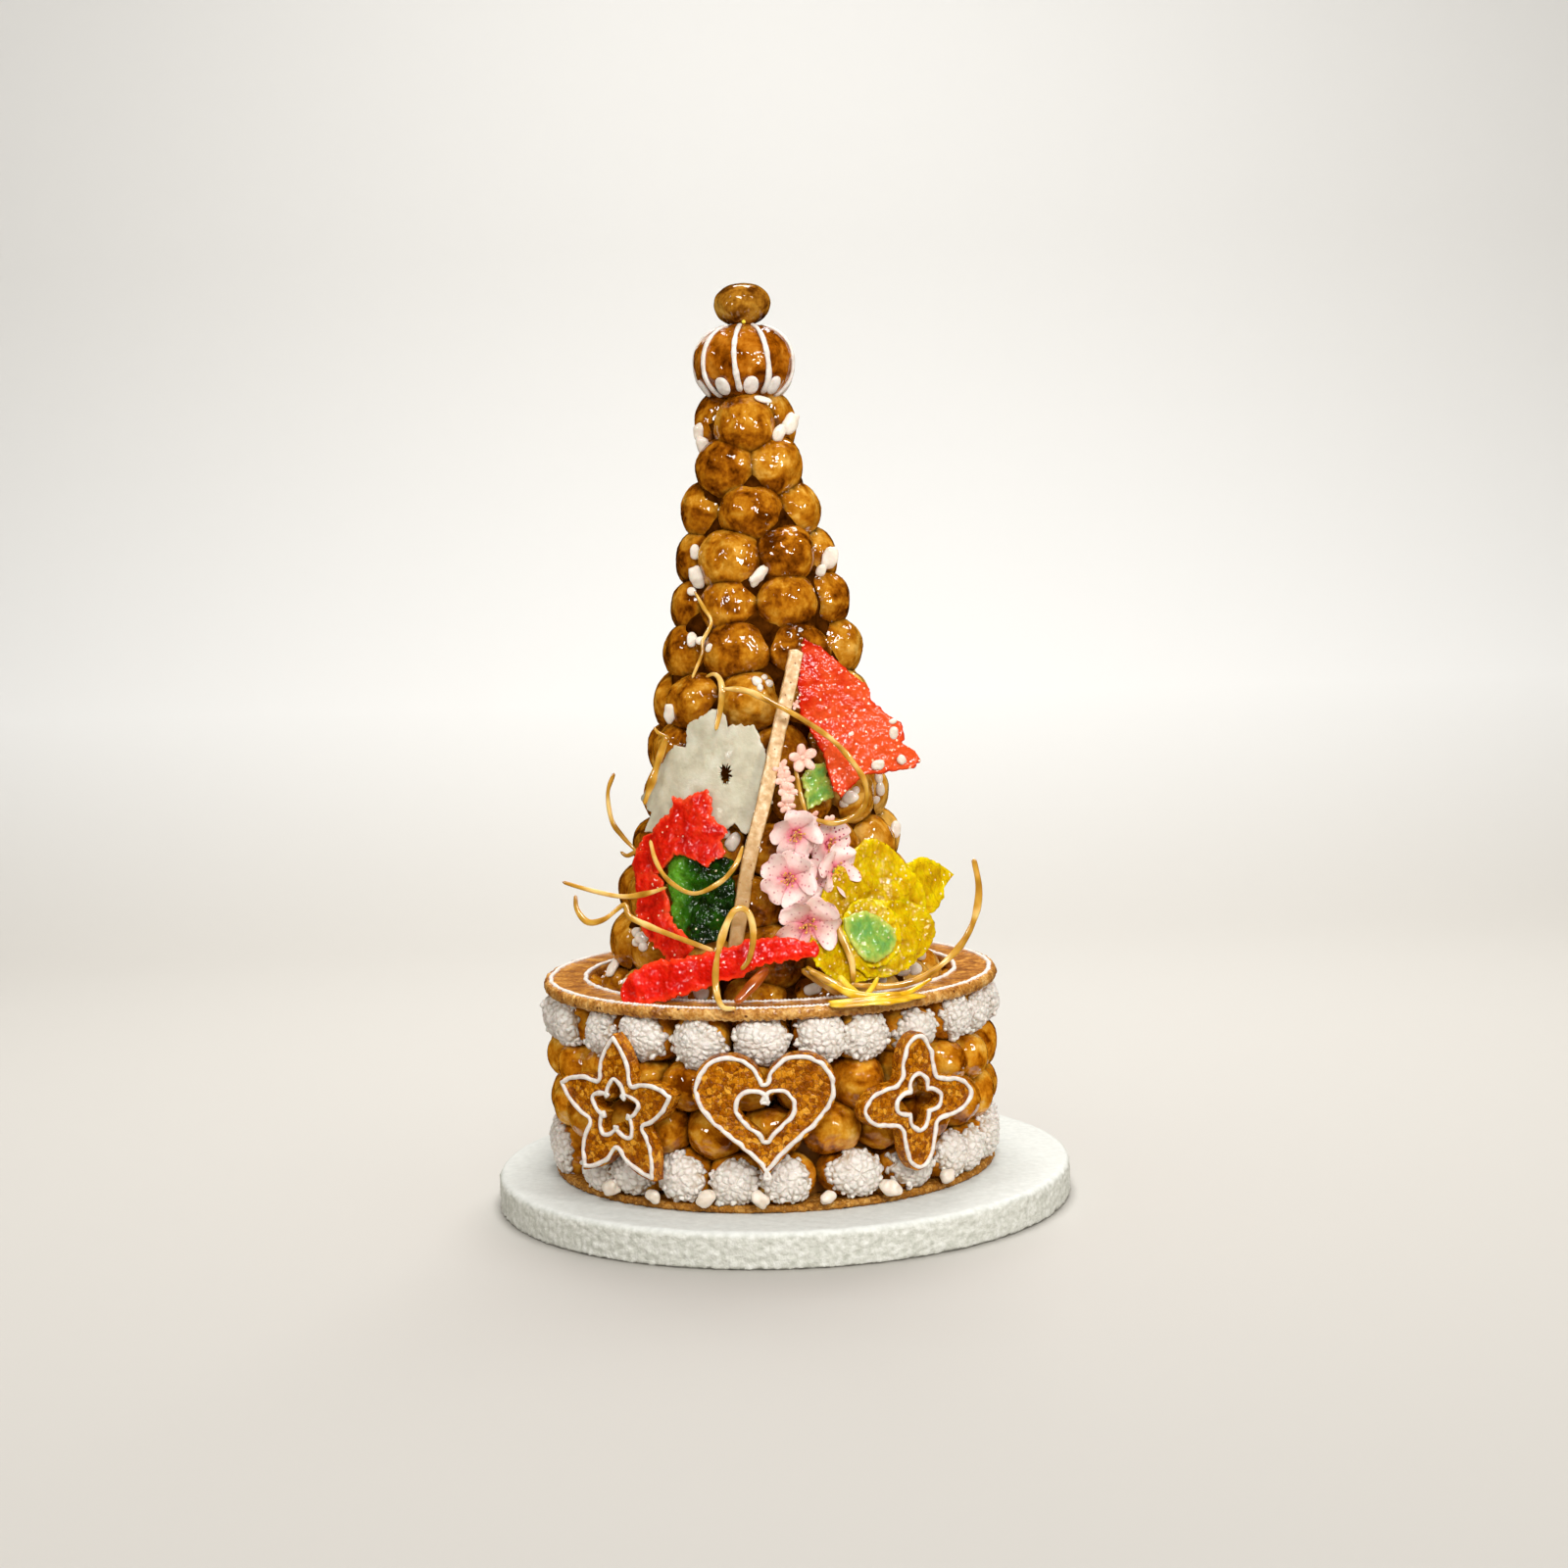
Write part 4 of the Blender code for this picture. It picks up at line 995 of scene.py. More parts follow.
def makeSheets():
    # from the left to the right of the cone, each colour a sugar of its own
    red = pouredSugar("redSugar", ((0.3, "#A40600"), (0.5, "#DE1C04"), (0.72, "#FF4820")), 0.25, 0.22,
                      glow=0.3)
    makeSheet("sheet_red", red, "red_sugar", ((-34, 218, 8.2), sheetPoints(
        [(17, 52), (21, 47), (21, 41), (22, 35), (27, 30), (33, 26), (35, 23), (31, 18), (34, 12), (34, 8),
         (26, 5), (23, 1), (15, 5), (5, 8), (-3, 8), (-9, 2), (-16, -5), (-27, -7), (-38, -6), (-44, 0),
         (-42, 9), (-35, 19), (-29, 21), (-21, 29), (-13, 36), (-8, 42), (-10, 47), (-2, 44), (3, 47)],
        (-1, 19), 3.4, 101, ragged=1.0, ripple=0.5)), ((-34, 218, 8.2), ribbonPoints(
            [(-30, 10, 9), (-30, 1, 10), (-26, -9, 10), (-20, -18, 13), (-16, -26, 15), (-14, -34, 13),
             (-4, -42, 10), (6, -49, 10), (12, -58, 10)], 3.4, 105, 1.4)))
    deepRed = pouredSugar("deepRedSugar", ((0.3, "#A80600"), (0.5, "#E01804"), (0.72, "#FC3A14")), 0.15, 0.12,
                          glow=0.35, mottled=0.45)
    makeSheet("sheet_red_strip", deepRed, "red_sugar", ((-10, 154, 19.5, 0.6), ribbonPoints(
        [(-85, -13, 4), (-76, -13, 9.5), (-57, -7, 12.5), (-40, -4, 12), (-22, 1, 11), (-3, 6, 10),
         (16, 13, 9), (33, 15, 8), (46, 14, 6), (57, 13, 3)], 4.6, 111, 1.3)))
    stops = ((0.3, "#060E00"), (0.48, "#0E2202"), (0.62, "#2C6408"), (0.85, "#6CB02C"))
    green = pouredSugar("darkGreenSugar", stops, 0.30, 0.10, mottled=0.35, wet=0.35)
    local, ring, marks = sheetPoints(
        [(-12, 37), (-17, 30), (-25, 22), (-25, 9), (-20, 0), (-18, -13), (-14, -21), (-6, -27), (7, -31),
         (19, -27), (26, -14), (28, 1), (25, 13), (26, 23), (16, 27), (1, 20), (-6, 30)],
        (0, 0), 2.8, 121, ripple=0.6)
    marks["thin"] = np.clip((-2 * mm - local[..., 0]) / (14 * mm), 0, 1)   # the left part lets light through
    makeSheet("sheet_dark_green", green, "dark_green_sugar", ((-26, 199, 3.5), (local, ring, marks)))
    cream = dullSugar("creamSugar", ((0.3, "#AAA088"), (0.5, "#BEB69C"), (0.75, "#CCC6B2")), 0.012, 0.0022,
                      0.0003, **{"Roughness": 0.42, "Coat Weight": 0.4})
    makeSheet("sheet_cream", cream, "cream_sugar", ((-26, 279, 3.5), sheetPoints(
        [(7, 44), (12, 39), (14, 31), (20, 32), (32, 32), (37, 27), (45, 7), (54, -6), (47, -12), (50, -19),
         (37, -28), (32, -39), (28, -38), (22, -32), (17, -36), (-5, -36), (-55, -40), (-47, -27), (-64, -18),
         (-49, -7), (-38, 8), (-27, 19), (-17, 17), (-16, 33), (-4, 38)],
        (14, 0), 2.2, 131, rows=26, columns=300, hole=(3.4, 6.4), ragged=1.0, wave=0.4, ripple=0.1)))
    yellow = pouredSugar("yellowSugar", ((0.3, "#AA7000"), (0.5, "#D2A800"), (0.7, "#EED402")), 0.20, 0.35,
                         "#8E5A04", glow=0.2, mottled=0.6, wet=0.45, paler=0.16)
    turn = roundTurn(60)
    circle = 22.5 * np.stack((np.sin(turn), np.cos(turn)), -1) + (4, 1)
    makeSheet("sheet_yellow", yellow, "yellow_sugar", ((37, 186, 9.0, 1.0), sheetPoints(
        [(-1, 43), (3, 46), (13, 46), (22, 42), (28, 36), (32, 31), (38, 23), (43, 15), (45, 6), (44, -13),
         (38, -30), (26, -37), (11, -42), (-11, -43), (-26, -44), (-39, -42), (-47, -36), (-55, -29),
         (-58, -19), (-54, -6), (-44, 8), (-32, 24), (-18, 36)],
        (0, 0), 2.6, 141, columns=260, ragged=0.5, ripple=0.4)),
        ((37, 186, 11.8, 1.0), sheetPoints(
            [(-27, -1), (-21, 5), (-8, 8), (8, 6), (29, 5), (39, -1), (46, -11), (46, -22), (36, -31),
             (21, -38), (0, -43), (-17, -41), (-28, -32), (-33, -19)],
            (6, -18), 2.2, 143, columns=180, ragged=0.6, ripple=0.3)),
        ((31, 172, 14.4, 1.0), sheetPoints(circle, (4, 1), 1.8, 145, columns=140, ragged=0.6, ripple=0.2)))
    makeSheet("sheet_yellow_point", yellow, "yellow_sugar", ((48, 200, 6.0, 1.0), sheetPoints(
        [(24, 12), (31, 13), (40, 15), (52, 11), (63, 5), (70, -1), (62, -5), (56, -9), (55, -15), (48, -19),
         (37, -23), (28, -23), (20, -16), (18, -3)], (42, -4), 2.8, 151, ragged=0.4, columns=140)))
    pale = pouredSugar("paleGreenSugar", ((0.3, "#5CA468"), (0.5, "#86B84E"), (0.72, "#C8D25C")), 0.30, 0.3,
                       glow=0.2, wet=0.7)
    makeSheet("sheet_green_disc", pale, "pale_green_sugar", ((32, 171, 16.0, 1.0), sheetPoints(
        [(-19, 14), (-12, 16), (-3, 17), (7, 14), (13, 9), (19, 3), (20, -4), (15, -11), (6, -15), (-1, -17),
         (-9, -14), (-15, -7), (-17, 0), (-20, 7)], (0, 0), 2.8, 161, columns=140, ragged=0.5)))
    makeSheet("sheet_green_square", pale, "pale_green_sugar", ((20, 270, 4.0), sheetPoints(
        [(-6, 7), (4, 14), (11, 14), (16, -9), (-4, -16)], (4, 0), 2.8, 171, columns=120)))


# flag and its stick

print("flag")
flag = {"top": (24, -77, 360), "foot": (-24, -124, 160), "turn": 12, "wide": 9.6, "thick": 4.5,
        "rows": 120, "columns": 28, "boxy": 0.4, "sheet": 2.5,
        "outline": ((3, 114), (17, 110), (32, 102), (42, 96), (49, 94), (54, 91), (55, 86), (62, 81),
                    (70, 76), (79, 74), (83, 68), (83, 60), (92, 57), (97, 52), (95, 46), (82, 41),
                    (61, 33), (49, 15), (43, 19), (31, 41), (19, 55), (10, 66), (5, 82), (4, 102)),
        "nibs": ((73, 73, 2.6, 0.2), (75, 65, 4.4, 1.3), (84, 49, 3.8, 2.2), (69, 42, 4.6, 0.1),
                 (47, 58, 2.2, 0.5))}   # across, up, half width, roll


def makeFlag(white):
    # the stick's axes are across it, towards the viewer and up it, and the flag lies in the same axes
    foot, top = (np.array(flag[end], float) * mm + tower for end in ("foot", "top"))
    middle, length, up = (foot + top) / 2, np.linalg.norm(top - foot), unit(top - foot)
    lean = math.radians(flag["turn"])
    across = np.array((math.cos(lean), math.sin(lean), 0.0))
    across = unit(across - up * (across @ up))
    axes = np.stack((across, np.cross(up, across), up))
    along = np.linspace(-length / 2, length / 2, flag["rows"])[:, None]
    turn = roundTurn(flag["columns"])[None]
    field = np.stack(np.broadcast_arrays(4 * mm * np.cos(turn), 4 * mm * np.sin(turn), along), -1)
    rough = 1 + 0.03 * swell(field, 14 * mm, 181) + 0.015 * swell(field, 3 * mm, 182)
    rough = rough * roundEnds(flag["rows"], 0.004)[:, None] * mm / 2
    wide, thick = (squared(wave, flag["boxy"]) for wave in (np.cos(turn), np.sin(turn)))
    bow = 3 * mm * np.exp(-((along + 34 * mm) / (32 * mm)) ** 2)   # a bell round 34 mm below its middle
    bend = 0.5 * mm * swell(field * (0, 0, 1), 90 * mm, 183) - bow
    local = np.stack((flag["wide"] * wide * rough + bend, flag["thick"] * thick * rough, field[..., 2]), -1)
    edge = np.clip((np.abs(wide) - 0.8) * 5, 0, 1) * np.clip(1 + swell(field, 9 * mm, 184), 0, 1)
    edge = np.maximum(edge, np.clip((-10 * mm - along) / (60 * mm), 0, 0.8))   # its foot is crumb all over
    parts = [(middle + local @ axes, False, {"edge": edge})]
    makePiece("flag_stick", parts, stickBiscuit())
    local, ring, marks = sheetPoints(flag["outline"], (44, 66), flag["sheet"], 191, rows=30, columns=300,
                                     wave=1.2)
    marks["thin"] = np.clip(local[..., 0] / (70 * mm), 0, 1) - 0.8 * marks["thin"] ** 3
    local[..., 2] -= flag["sheet"] / 2 * mm
    points = middle + local[..., (0, 2, 1)] * (1, -1, 1) @ axes
    finish = pouredSugar("flagSugar", ((0.3, "#9A0E00"), (0.5, "#CC2000"), (0.72, "#E25020")), 0.15, 0.45,
                         wet=0.45)
    makePiece("sheet_flag", [(points, ring, marks)], finish)
    right, above, size, roll = np.array(flag["nibs"], float).T
    places = middle + np.stack((right, 0 * right - 1.6, above), -1) * mm @ axes
    nibs = ballPoints(places, facing(lean, -0.2, roll), size[:, None] * mm * (1.0, 0.7, 0.5), 10, 14, 2.8,
                      lambda found: 0.12 * swell(found, 5 * mm, 195))
    makePiece("flagNibs", [nibs], white)


# pulled sugar

print("pulled sugar")
thread = {"flatness": 0.55, "step": 1.6 * mm, "tip": 22 * mm}
threads = {   # half width, then the points a thread passes through, in mm on the tower
    "strand_bow": (1.9, [(-26, -88, 336), (-9, -95, 334), (11, -99, 324), (29, -99, 313), (46, -99, 300),
                         (58, -99, 286), (66, -97, 272), (66, -95, 258), (57, -96, 249), (44, -101, 246),
                         (30, -104, 250)]),
    "strand_hook": (1.9, [(-37, -72, 343), (-31, -76, 345), (-27, -80, 341), (-26, -83, 332), (-28, -85, 320),
                          (-31, -88, 308)]),
    "strand_left_arc": (1.6, [(-102, -30, 278), (-107, -30, 264), (-105, -30, 245), (-98, -31, 234),
                              (-92, -32, 227), (-88, -34, 223)]),
    "strand_left_long": (1.6, [(-136, -86, 211), (-116, -90, 205), (-96, -94, 201), (-79, -97, 203),
                               (-66, -99, 207)]),
    "strand_left_hook": (1.9, [(-126, -106, 205), (-125, -108, 195), (-118, -110, 187), (-107, -112, 189),
                               (-94, -113, 198), (-91, -115, 191), (-80, -117, 185), (-60, -122, 177),
                               (-36, -127, 168)]),
    "strand_swag": (1.6, [(-77, -82, 237), (-73, -91, 223), (-64, -102, 211), (-48, -113, 204),
                          (-30, -118, 212), (-20, -116, 223), (-15, -106, 234)]),
    "strand_loop": (2.0, [(-19, -141, 157), (-13, -140, 165), (-10, -138, 180), (-13, -137, 194),
                          (-21, -138, 196), (-28, -141, 185), (-34, -145, 165), (-35, -149, 147),
                          (-31, -157, 136.5), (-22, -159, 135.5)]),
    "strand_right_arc": (2.2, [(136, -100, 220), (139, -100, 200), (136, -100, 181), (127, -102, 164),
                               (113, -106, 151), (95, -113, 142), (76, -120, 140), (51, -127, 143)])}
looseThreads = [   # the same, with no CAD node of their own
    (1.3, [(-43, -47, 400), (-37, -58, 389), (-32, -62, 379), (-38, -63, 367), (-39, -66, 358),
           (-46, -70, 342)]),
    (2.4, [(41, -113, 190), (47, -118, 174), (53, -121, 158), (54, -123, 143)]),
    (2.8, [(-64, -62, 305), (-81, -64, 258)]),
    (1.4, [(-62, -64, 302), (-70, -58, 306), (-73, -56, 310)]),
    (1.4, [(20, -92, 288), (23, -95, 268), (27, -98, 252)]),
    (2.8, [(20, -124, 154), (33, -126, 145), (46, -126, 137)]),
    (1.4, [(-100, -33, 224), (-95, -35, 221), (-88, -40, 225), (-84, -44, 229)])]
melted = {"puddle": [(36, -149, 134.2), (58, -145, 134.4), (80, -135, 134.4), (97, -121, 134.2)], "runs": (
    [(23, -126, 156), (33, -131, 149), (43, -136, 143), (54, -139, 138.5), (68, -139, 137), (84, -134, 137)],
    [(44, -130, 150), (50, -134, 143), (58, -138, 137)],
    [(70, -128, 148), (66, -133, 142), (60, -139, 137)],
    [(36, -147, 135.5), (54, -145, 135.5), (74, -137, 136), (90, -126, 137), (106, -112, 143)],
    [(48, -150, 135), (66, -145, 135), (86, -133, 135.5)])}


def threadPart(knots, wide, thick, seed):
    # one thread: flattened, swelling and thinning a little, with rounded ends
    knots = np.asarray(knots, float) * mm + tower
    length = np.linalg.norm(np.diff(knots, axis=0), axis=1).sum()
    count = max(int(length / thread["step"]), 12)
    path = throughKnots(knots, count)
    tips = 0.45 + 0.55 * roundEnds(count, min(0.5, thread["tip"] / length))
    uneven = (1 + 0.14 * swell(path, 16 * mm, seed)) * tips * roundEnds(count, 1.5 * mm / length)
    return threadPoints(path, wide * mm * uneven, thick * mm * uneven, 12)


def makeThreads(gold, brown, yellow):
    # the drawn threads, the loose ones, two thick sticks at the rim, and the melted sugar
    for index, (node, (wide, knots)) in enumerate(threads.items()):
        name = "thread" + "".join(word.capitalize() for word in node.split("_")[1:])
        thick = max(wide * thread["flatness"], 0.9)
        makePiece(name, [threadPart(knots, wide, thick, 201 + index)], gold, [node])
    loose = [threadPart(knots, wide, 0.8 * wide, 221 + index)
             for index, (wide, knots) in enumerate(looseThreads)]
    makePiece("looseThreads", loose, gold)
    brownStick = threadPart([(-23, -152, 137.5), (-12, -142, 147), (-1, -132, 157)], 3.6, 3.6, 231)
    makePiece("brownStick", [brownStick], brown, ["stick_brown"])
    amberStick = threadPart([(25, -135, 155), (40, -134, 146), (52, -131, 139)], 2.4, 2.2, 232)
    makePiece("amberStick", [amberStick], gold, ["stick_amber"])
    runs = [threadPart(knots, 2.4 - 0.2 * index, 2.0, 241 + index)
            for index, knots in enumerate(melted["runs"])]
    puddle = threadPart(melted["puddle"], 1.8, 13.0, 251)   # yellow threads that ran together over the rim
    makePiece("meltedSugar", runs + [puddle], yellow)


# blossoms

print("blossoms")
blossom = {"rows": 16, "columns": 22, "thick": 0.75 * mm, "stamens": 11, "stamen": 0.22 * mm,
           "anther": 0.75 * mm}
blossoms = [   # degrees and mm: azimuth, height, stand, radius, phase; tilt across, up; freckles; green eye
    (10.5, 240, 13.5, 19.0, 0, (0.10, -0.25), 0.25, 0), (7.4, 212.5, 19.0, 20.5, 20, (-0.2, -0.05), 0.5, 0),
    (23.5, 214.5, 13.5, 19.0, 8, (0.35, 0.0), 0.8, 1), (24.5, 231, 6.0, 17.0, 30, (0.1, 0.0), 1.0, 0),
    (10.9, 185.0, 27.0, 23.0, 30, (0.0, -0.45), 0.5, 0), (14.5, 209.5, 10.5, 15.0, 0, (0.0, 0.1), 1.0, 0)]


def petalPoints(radius, turns, seed):
    # petals: row by row a lens section, as wide as the petal there; the sides rise into a shallow cup, the
    # tip is notched and curls back, and one side lifts over the next petal
    rows, columns = blossom["rows"], blossom["columns"]
    share, around = np.linspace(0, 1, rows)[:, None], roundTurn(columns)[None]
    wide = radius * 0.51 * np.sin(np.pi * np.clip(0.04 + 0.96 * share, 0, 1) ** 1.7) ** 0.62
    across = wide * np.clip(share * 9, 0, 1) * np.clip((1 - share) * 14, 0, 1) ** 0.5 * np.cos(around)
    thick = blossom["thick"] * np.clip(np.minimum(share * 10, (1 - share) * 14), 0, 1) ** 0.5
    notch = 0.13 * radius * np.exp(-(across / (0.13 * radius)) ** 2) * share ** 6
    shapes = []
    for index, turn in enumerate(turns):
        long = np.random.default_rng(seed + index).uniform(0.93, 1.04)
        outward = radius * (0.06 + 0.94 * share) * long - notch
        ruffle = swell(np.stack((across, outward, 0 * across + seed + index), -1), 9 * mm, 7)
        rise = (0.24 * radius * (across / (0.46 * radius)) ** 2 * share + 0.45 * outward * (1 - 0.7 * share)
                + 0.34 * across * share + 0.9 * mm * ruffle * share + thick * np.sin(around) / 2)
        shapes.append(np.stack((across * math.cos(turn) + outward * math.sin(turn),
                                outward * math.cos(turn) - across * math.sin(turn), rise), -1))
    return np.stack(shapes), np.broadcast_to(share, (len(turns), rows, columns))


def makeBlossoms(draw, paste, throat, green, stamen):
    # five petals at equal turns round an eye, and stamens that lean out from it, on axes tilted off the cone
    for index, (azimuth, height, stand, radius, phase, tilt, freckle, leafy) in enumerate(blossoms):
        spot = onCone(azimuth, height, stand, 1.0)(np.zeros((1, 3)))[0]   # where its throat sits
        side, up, out = facing(math.radians(azimuth))
        out = unit(out + side * tilt[0] + up * tilt[1])
        side = unit(side - out * (side @ out))
        axes = np.stack((side, np.cross(out, side), out))
        turns = np.radians(phase) + 2 * np.pi * np.arange(5) / 5 + draw.normal(0, 0.06, 5)
        local, along = petalPoints(radius * mm, turns, 300 + 10 * index)
        marks = {"along": along, "freckle": freckle}
        makePiece(f"blossom_{index + 1}", [(spot + local @ axes, False, marks)], paste)
        size = 0.13 * radius * mm
        eye = ballPoints([spot + out * 0.6 * mm], axes[None], [(size, size, 1.2 * mm)], 8, 14)
        makePiece(f"blossom{index + 1}Throat", [eye], green if leafy else throat)
        parts = []
        for number in range(blossom["stamens"]):
            lean = draw.uniform(0.35, 0.95)
            turn = 2 * np.pi * number / blossom["stamens"] + draw.normal(0, 0.2)
            flat = math.sin(lean)
            way = np.array((flat * math.cos(turn), flat * math.sin(turn), math.cos(lean))) @ axes
            path = spot + np.linspace(0.4 * mm, radius * mm * draw.uniform(0.26, 0.42), 7)[:, None] * way
            half = blossom["stamen"] * roundEnds(7, 0.1)
            parts.append(threadPoints(path, half, half, 5, side))
            parts.append(ballPoints([path[-1]], axes[None], [(blossom["anther"],) * 3], 6, 8))
        makePiece(f"blossom{index + 1}Stamens", parts, stamen)


# small sugar flowers, pebbles and nibs

smallFlowers = [   # place in mm on the tower, size, petals
    ((25, -91, 289), 10.5, 5), ((11, -94, 283), 6.0, 5), ((13, -95, 275), 7.0, 6),
    ((15, -97, 267), 7.0, 6), ((14, -98, 259), 6.5, 6), ((22, -83, 323), 4.0, 4),
    ((31, -94, 250), 5.0, 4), ((42, -92, 246), 5.5, 5), ((46, -102, 206), 4.5, 5)]
conePebbles = [   # across and height on the tower in mm, half long and half wide in mm, turn in degrees
    (-41, 409, 8.0, 5.2, 105), (0, 409, 8.6, 4.6, 45), (-45, 399, 3.2, 2.8, 0), (49, 419, 8.6, 5.4, 65),
    (43, 411, 4.6, 3.4, 60), (-42, 426, 5.0, 3.6, 80), (-46, 367, 5.2, 3.4, 90), (-40, 366, 3.3, 3.0, 0),
    (-34, 362, 3.0, 2.0, 60), (-3, 339, 3.6, 3.2, 0), (2, 341, 2.4, 2.0, 30), (5, 337, 3.0, 2.6, 0),
    (-1, 335, 2.4, 2.0, 80), (-62, 318, 7.0, 4.0, 85), (57, 259, 5.4, 4.4, 20), (53, 255, 3.2, 2.6, 0),
    (61, 263, 3.0, 2.6, 50), (78, 268, 4.0, 3.0, 80), (79, 260, 5.0, 3.4, 100), (76, 254, 3.0, 2.4, 20),
    (89, 231, 5.8, 3.8, 70), (-22, 234, 7.0, 4.4, 60), (-27, 239, 3.8, 3.4, 0), (-85, 169, 5.0, 4.4, 0),
    (-89, 172, 3.6, 3.2, 30), (-81, 172, 3.4, 3.2, 0), (-84, 164, 3.4, 3.0, 0), (-89, 166, 3.2, 3.0, 0),
    (-34, 498, 7.6, 4.8, 112), (-37, 508, 6.0, 4.0, 85), (25, 511, 8.0, 5.0, 55), (17, 504, 6.2, 4.4, 60),
    (7, 527, 6.0, 2.2, 165), (-108, 143, 7.0, 3.6, 80), (-46, 137, 5.2, 4.6, 0), (-58, 135, 3.6, 3.2, 0),
    (28, 138, 6.6, 4.0, 20), (89, 141, 5.2, 4.4, 0), (98, 140, 5.0, 4.2, 30), (103, 147, 4.2, 3.4, 0),
    (-96, 139, 3.4, 3.0, 0), (74, 139, 3.2, 2.8, 0)]
footPebbles = {"turns": (-44, -31, -17, -4, 12, 28, 46), "reach": 157 * mm,
               "half": np.array((6.2, 4.6, 4.2)) * mm}


def makeSmallFlowers(draw, pink):
    # each a ring of flat petals, leaning up, round a small bead
    parts = []
    for place, size, count in smallFlowers:
        spot = np.array(place, float) * mm + tower
        axes = facing(math.atan2(place[0], -place[1]), draw.uniform(-0.3, 0.4))
        turns = (2 * np.pi * np.arange(count) / count + draw.uniform(0, 1.2))[:, None]
        ways = np.cos(turns) * axes[0] + np.sin(turns) * axes[1]
        long, wide = unit(ways + 0.45 * axes[2]), np.cross(axes[2], ways)
        petals = np.stack((long, wide, np.cross(long, wide)), 1)
        size = size * mm
        halves = size * draw.uniform(0.85, 1.15, (count, 3)) * (0.52, 0.34, 0.20)
        parts.append(ballPoints(spot + long * size * 0.55, petals, halves, 9, 14, 2.3))
        parts.append(ballPoints([spot + axes[2] * 0.1 * size], axes[None], [(size * 0.24,) * 3], 7, 10))
    makePiece("smallFlowers", parts, pink)


pebble = {"lean": 1.1, "wedged": 9 * mm, "proud": 0.25, "thick": 0.52}   # the last two as shares of its width


def makePebbles(white, behind):
    # smooth pebbles: on the cone each lies where a line straight back meets the choux, turned to its slope,
    # or is wedged in the mouth of a gap
    parts = []
    for across, height, long, wide, turn in conePebbles:
        start = Vector((tower[0] + across * mm, -0.4, tower[2] + height * mm))
        hit, place, out, face = behind.ray_cast(start, Vector((0, 1, 0)))
        if not hit:
            print("no choux behind the pebble at", across, height)
            continue
        out = unit(np.array(out) + (0, -pebble["lean"], 0))
        side = unit(np.cross((0, 0, 1), out))
        up = np.cross(out, side)
        cos, sin = math.cos(math.radians(turn)), math.sin(math.radians(turn))
        axes = np.stack((side * cos + up * sin, up * cos - side * sin, out))
        reach = max(coneRadius(place.z) ** 2 - (across * mm) ** 2, 0) ** 0.5
        spot = np.array((place.x, min(place.y, pebble["wedged"] - reach), place.z))
        half = np.array((long, wide, pebble["thick"] * wide)) * mm
        parts.append(ballPoints([spot + out * pebble["proud"] * wide * mm], axes[None], [half], 14, 20, 2.3,
                                lambda found: 0.09 * swell(found, 6 * mm, 351)))
    makePiece("conePebbles", parts, white)
    for number, turn in enumerate(np.radians(footPebbles["turns"]), 1):
        low, high = box(f"sugar_pebble_{number}")
        reach, half = footPebbles["reach"], footPebbles["half"] * (1 + 0.15 * math.sin(number * 2.3))
        spot = (tower[0] + reach * math.sin(turn), -reach * math.cos(turn), low[2] + half[1])
        grid = ballPoints([spot], facing([turn], [0.1], [0.7 * math.sin(number * 2.7)]), [half], 16, 24, 2.5,
                          lambda found: 0.10 * swell(found, 6 * mm, 352))
        makePiece(f"footPebble{number}", [grid], white, [f"sugar_pebble_{number}"])


# making everything

# painted light and shade: the cone's and the drum's caramel are lit and shaded copies of one caramel, the
# cone's darker and the drum's lighter, standing in for how the light falls on each
caramel = ((0.24, "#4A2000"), (0.38, "#7E4206"), (0.50, "#A2600C"), (0.63, "#BA7C1E"), (0.80, "#D4A046"))
litDrumCaramel = ((0.24, "#642C00"), (0.38, "#9C5606"), (0.50, "#BA7212"), (0.63, "#CC8E26"), (0.80, "#E0AE54"))
crownCaramel = ((0.24, "#461A00"), (0.38, "#763A02"), (0.50, "#985208"), (0.64, "#AE6A18"), (0.82, "#C88E3E"))
topCaramel = ((0.24, "#4A2404"), (0.38, "#7C4A0E"), (0.50, "#A06A1C"), (0.63, "#B8842E"), (0.80, "#D0A450"))
icing = dullSugar("royalIcing", ((0.3, "#CABEB2"), (0.6, "#E0D8CE")), 0.004, 0.0015,
                  **{"Subsurface Weight": 0.1})
makeBoard()
makeBase(nougatine("nougatineEdge", ((0.15, "#6E3C08"), (0.5, "#AA722A"), (0.85, "#D2A258")), 0.003, 0.3))
# painted shade: the filling's near-black, glossless colour stands for the shade in the gaps between choux
makeConeFilling(dullSugar("burntCaramel", ((0.3, "#200A00"), (0.7, "#4A2404")), 0.006, 0.003, 0.001, detail=2,
                          **{"Specular IOR Level": 0.0, "Subsurface Weight": 0.0}))
draw = np.random.default_rng(7)
coneChoux = makeConeChoux(draw, caramelledChoux("coneChoux", caramel))
capped = makeDrumChoux(draw, caramelledChoux("drumChoux", litDrumCaramel))
pearlSugar = pearlSugarCrust()
for name, row in zip(("pearlCapsLow", "pearlCapsTop"), capped):
    makePearlCaps(name, draw, *row, pearlSugar)
makeRim(rimNougatine(), icing)
makeCrown(caramelledChoux("crownCaramel", crownCaramel), caramelledChoux("topCaramel", topCaramel), icing,
          dullSugar("yellowBead", ((0.3, "#E0C21C"), (0.7, "#F2E04A")), 0.002, 0.001))
almonds = ((0.15, "#5A2800"), (0.38, "#944C00"), (0.55, "#BE7408"), (0.8, "#ECB040"))
chopped = nougatine("choppedNougatine", almonds, 0.0034, 0.6)
makePlaque("star", starOutline, -38, 61, chopped, icing)
makePlaque("heart", heartOutline, -2, 71, chopped, icing)
makePlaque("clover", cloverOutline, 34, 81, chopped, icing)
print("sugar")
makeSheets()
white = dullSugar("smoothSugar", ((0.3, "#D2C2AE"), (0.7, "#E8DCCC")), 0.006, 0.001, **{"Coat Weight": 0.4})
makeFlag(white)
